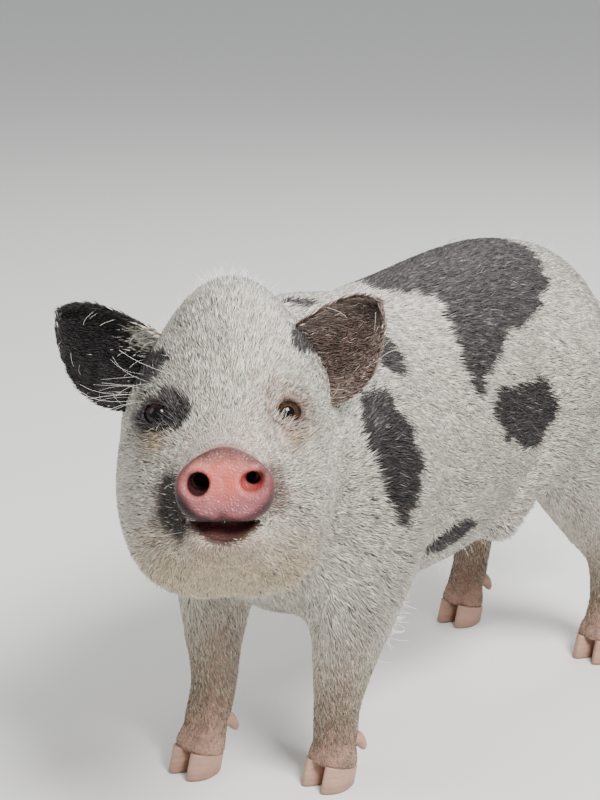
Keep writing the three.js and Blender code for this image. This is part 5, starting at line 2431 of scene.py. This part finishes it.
@dataclass
class LongHairs:
    """Where the long hairs grow: crown, chin, muzzle, lids, ears, back, elbows, belly, tail."""

    bristles: Bristles
    patches: list[Patch]

    CROWN = Growth("hair_crown", 220, (1, 2), (7, 12), 0.16, flow=1.0, normal=0.45)
    BROW = Growth("hair_brow", 15, (3, 4), (18, 36), 0.11, normal=0.3,
                  way=head_way(-0.85, 0, -0.12))
    CHIN = Growth("hair_chin", 130, (5, 6), (5, 9), 0.2, normal=0.25,
                  way=head_way(0, 0.8, -0.5), hue=Hue.CREAM_HAIR)
    WHISKERS = Growth("whiskers", 30, (7, 8), (6, 12), 0.11, normal=0.7,
                      way=head_way(0, 0.6, -0.1))
    SPINE = Growth("hair_spine", 500, (22, 23), (9, 14), 0.17, flow=0.9, normal=0.3, marked=True)
    BELLY = Growth("belly_hair", 420, (28, 29), (6, 11), 0.14, flow=0.8, normal=0.35)
    BRUSH = Growth("tail_brush", 260, (24, 25), (18, 30), 0.24, flow=1.0, normal=0.2,
                   hue=Hue.CREAM_HAIR)

    def build(self) -> list[Piece]:
        """Makes every piece of long hair.

        Returns:
            The pieces.
        """
        tail = self.patches[3]
        brush = smooth_step(0.75, 1.0, tail.chart[:, 0])
        return [*self.on_head(), *self.on_lids(), *self.on_ears(), *self.on_body(),
                self.BRUSH.grow(self.bristles, tail, brush)]

    def on_head(self) -> list[Piece]:
        """Grows the hair of crown, brow, chin and muzzle.

        Returns:
            The pieces.
        """
        body = self.patches[0]
        q = FORM.to_head(body.points)
        x, y, z = q.T
        crown = np.exp(-(((x - 3) / 22) ** 2 + ((z - 104) / 13) ** 2)) * (y < 140)
        brow = np.exp(-(((x + 40) / 11) ** 2 + ((z - 50) / 9) ** 2)) * (y < 95)
        chin = np.exp(-(((z + 46) / 14) ** 2)) * (y > 8) * (y < 105) * (np.abs(x) < 45)
        muzzle = (np.exp(-(((y - 22) / 13) ** 2)) * (FACE.disc(q) > 3) * (FACE.mouth(q) > 4)
                  * (np.abs(x) > 12) * (FACE.disc(q) < 60))
        weights = ((self.CROWN, crown), (self.BROW, brow), (self.CHIN, chin),
                   (self.WHISKERS, muzzle))
        return [growth.grow(self.bristles, body, weight) for growth, weight in weights]

    def on_lids(self) -> list[Piece]:
        """Grows the lashes, along the rims of the lids.

        Returns:
            The pieces.
        """
        body = self.patches[0]
        q = FORM.to_head(body.points)
        pieces = []
        for side in Side:
            ball = FACE.from_eye(q, side)
            _, up, out = FACE.eye_frame(q, side)
            edge = np.exp(-(((FACE.slit(q, side) - 1.6) / 0.9) ** 2)) * (ball < 17) * (out > 0)
            rims = (("upper", up > 2.5, 16, -0.1, Hue.GREY_HAIR),
                    ("lower", up < -3.0, 4, -0.7, Hue.CREAM_HAIR))
            for rim, band, count, tilt, hue in rims:
                way = head_way(*(FACE.gaze(side) * 0.75 + [0.45 * side, 0, tilt]))
                lashes = Growth(f"lashes_{rim}_{side.word}", count, (9 + side, 11), (3.5, 6), 0.12,
                                way=way, hue=hue)
                pieces.append(lashes.grow(self.bristles, body, edge * band))
        return pieces

    def on_ears(self) -> list[Piece]:
        """Grows the fringes of the ears, thickest at their margins and inner roots.

        Returns:
            The pieces.
        """
        pieces = []
        for side, patch, count in zip(Side, self.patches[1:3], (50, 40)):
            inner = np.arange(len(patch.points)) < len(patch.points) // 2
            t, v = patch.chart[:, 0], (patch.chart[:, 1] - 0.5 * ~inner) / 0.45 * 2 - 1
            fringe = (smooth_step(0.35, 0.95, np.abs(v)) * (1 - smooth_step(0.8, 1.0, t))
                      + 0.35 * (1 - smooth_step(0.2, 0.6, t)) * inner)
            hairs = Growth(f"ear_fringe_{side.word}", count, (20, 21), (6, 13), 0.12, flow=0.8,
                           normal=0.45)
            pieces.append(hairs.grow(self.bristles, patch, fringe * (t > 0.02)))
        return pieces

    def on_body(self) -> list[Piece]:
        """Grows the hair of back, elbows and belly.

        Returns:
            The pieces.
        """
        body = self.patches[0]
        x, y, z = body.points.T
        behind = FORM.to_head(body.points)[:, 1]
        spine = np.exp(-((x / 16) ** 2)) * (z > 270) * (y < 130) * (behind > 120)
        pieces = [self.SPINE.grow(self.bristles, body, spine)]
        for side, limb in zip(Side, LIMBS):
            away = np.hypot(x - limb.x[2], (y - limb.y[2] - 24) / 0.9)
            elbow = np.exp(-((away / 9) ** 2) - ((z - 108) / 15) ** 2)
            tuft = Growth(f"elbow_tuft_{side.word}", 170, (26, 27), (10, 20), 0.2, flow=0.5,
                          normal=0.15, way=(0.15 * side, 0.75, -0.45))
            pieces.append(tuft.grow(self.bristles, body, elbow))
        under = (body.normals[:, 2] < -0.5) * (z > 95) * (z < 150) * (behind > 125)
        pieces.append(self.BELLY.grow(self.bristles, body, under.astype(float)))
        return pieces


class Studio:
    """The pale floor, soft lights and the camera at the photograph's angle."""

    FLOOR_SIZE = 60.0
    EYE = (690.76, -873.48, 541.0)
    LOOK = (-0.64543, 0.70932, -0.28335)
    UP = (-0.19070, 0.20957, 0.95902)
    LENS = 80.0
    CLIP = (0.01, 50.0)
    TARGET = (0, 0, 0.17)
    SKY = (0.93, 0.96, 1.0, 1.0)
    SKY_STRENGTH = 0.55
    LIGHTS = (
        ("key", (1.5, -0.5, 2.0), 0.8, 118.0),
        ("fill", (-1.3, -1.7, 1.5), 1.4, 17.0),
        ("back", (-0.4, 1.5, 1.7), 1.2, 20.0),
    )

    @classmethod
    def build(cls) -> None:
        """Makes the floor, the lights, the world and the camera."""
        half = cls.FLOOR_SIZE / 2
        mesh = bpy.data.meshes.new("studio_floor")
        corners = [(-half, -half, 0), (half, -half, 0), (half, half, 0), (-half, half, 0)]
        mesh.from_pydata(corners, [], [(0, 1, 2, 3)])
        floor = bpy.data.objects.new("studio_floor", mesh)
        floor.data.materials.append(BoardFinish().make())
        bpy.context.scene.collection.objects.link(floor)
        for name, at, size, power in cls.LIGHTS:
            lamp = bpy.data.lights.new(name, "AREA")
            lamp.size, lamp.energy = size, power
            light = bpy.data.objects.new(name, lamp)
            light.location = at
            aim = Vector(cls.TARGET) - Vector(at)
            light.rotation_euler = aim.to_track_quat("-Z", "Y").to_euler()
            bpy.context.scene.collection.objects.link(light)
        world = bpy.data.worlds.new("studio")
        world.use_nodes = True
        g = Graph(world.node_tree)
        sky = g.add("ShaderNodeBackground", Color=cls.SKY, Strength=cls.SKY_STRENGTH)
        g.add("ShaderNodeOutputWorld", Surface=sky.outputs["Background"])
        bpy.context.scene.world = world
        cls.camera()

    @classmethod
    def camera(cls) -> None:
        """Sets the camera where the photograph was taken from."""
        lens = bpy.data.cameras.new("camera")
        lens.lens = cls.LENS
        lens.clip_start, lens.clip_end = cls.CLIP
        camera = bpy.data.objects.new("camera", lens)
        look, up = Vector(cls.LOOK).normalized(), Vector(cls.UP).normalized()
        right = look.cross(up).normalized()
        axes = Matrix((right, up, -look)).transposed().to_4x4()
        camera.matrix_world = Matrix.Translation(Vector(Frame.row(np.array(cls.EYE)))) @ axes
        bpy.context.scene.collection.objects.link(camera)
        bpy.context.scene.camera = camera


FLESH = ("torso", "neck", "tail", "head", "ear_left", "ear_right",
         "foreleg_left", "foreleg_right", "hindleg_left", "hindleg_right")


def main() -> None:
    """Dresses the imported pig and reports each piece."""
    logging.basicConfig(level=logging.INFO, format="%(message)s")
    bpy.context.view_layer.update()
    Frame.fit()
    skin, hair = Skin(), BristleFinish().make()
    dress(skin.build(), SkinFinish().make(), "skin", *FLESH)
    for piece in Tufts.build(skin.patches):
        dress(piece, hair, "skin")
    for piece in LongHairs(Bristles(hair), skin.patches).build():
        dress(piece, hair, "skin")
    wet, horn = EyeFinish().make(), HornFinish().make()
    for side in Side:
        dress(Eye(side).build(), wet, "eye", f"eye_{side.word}")
    for limb in LIMBS:
        Hooves(limb).build(horn)
    Studio.build()


if __name__ == "__main__":
    main()
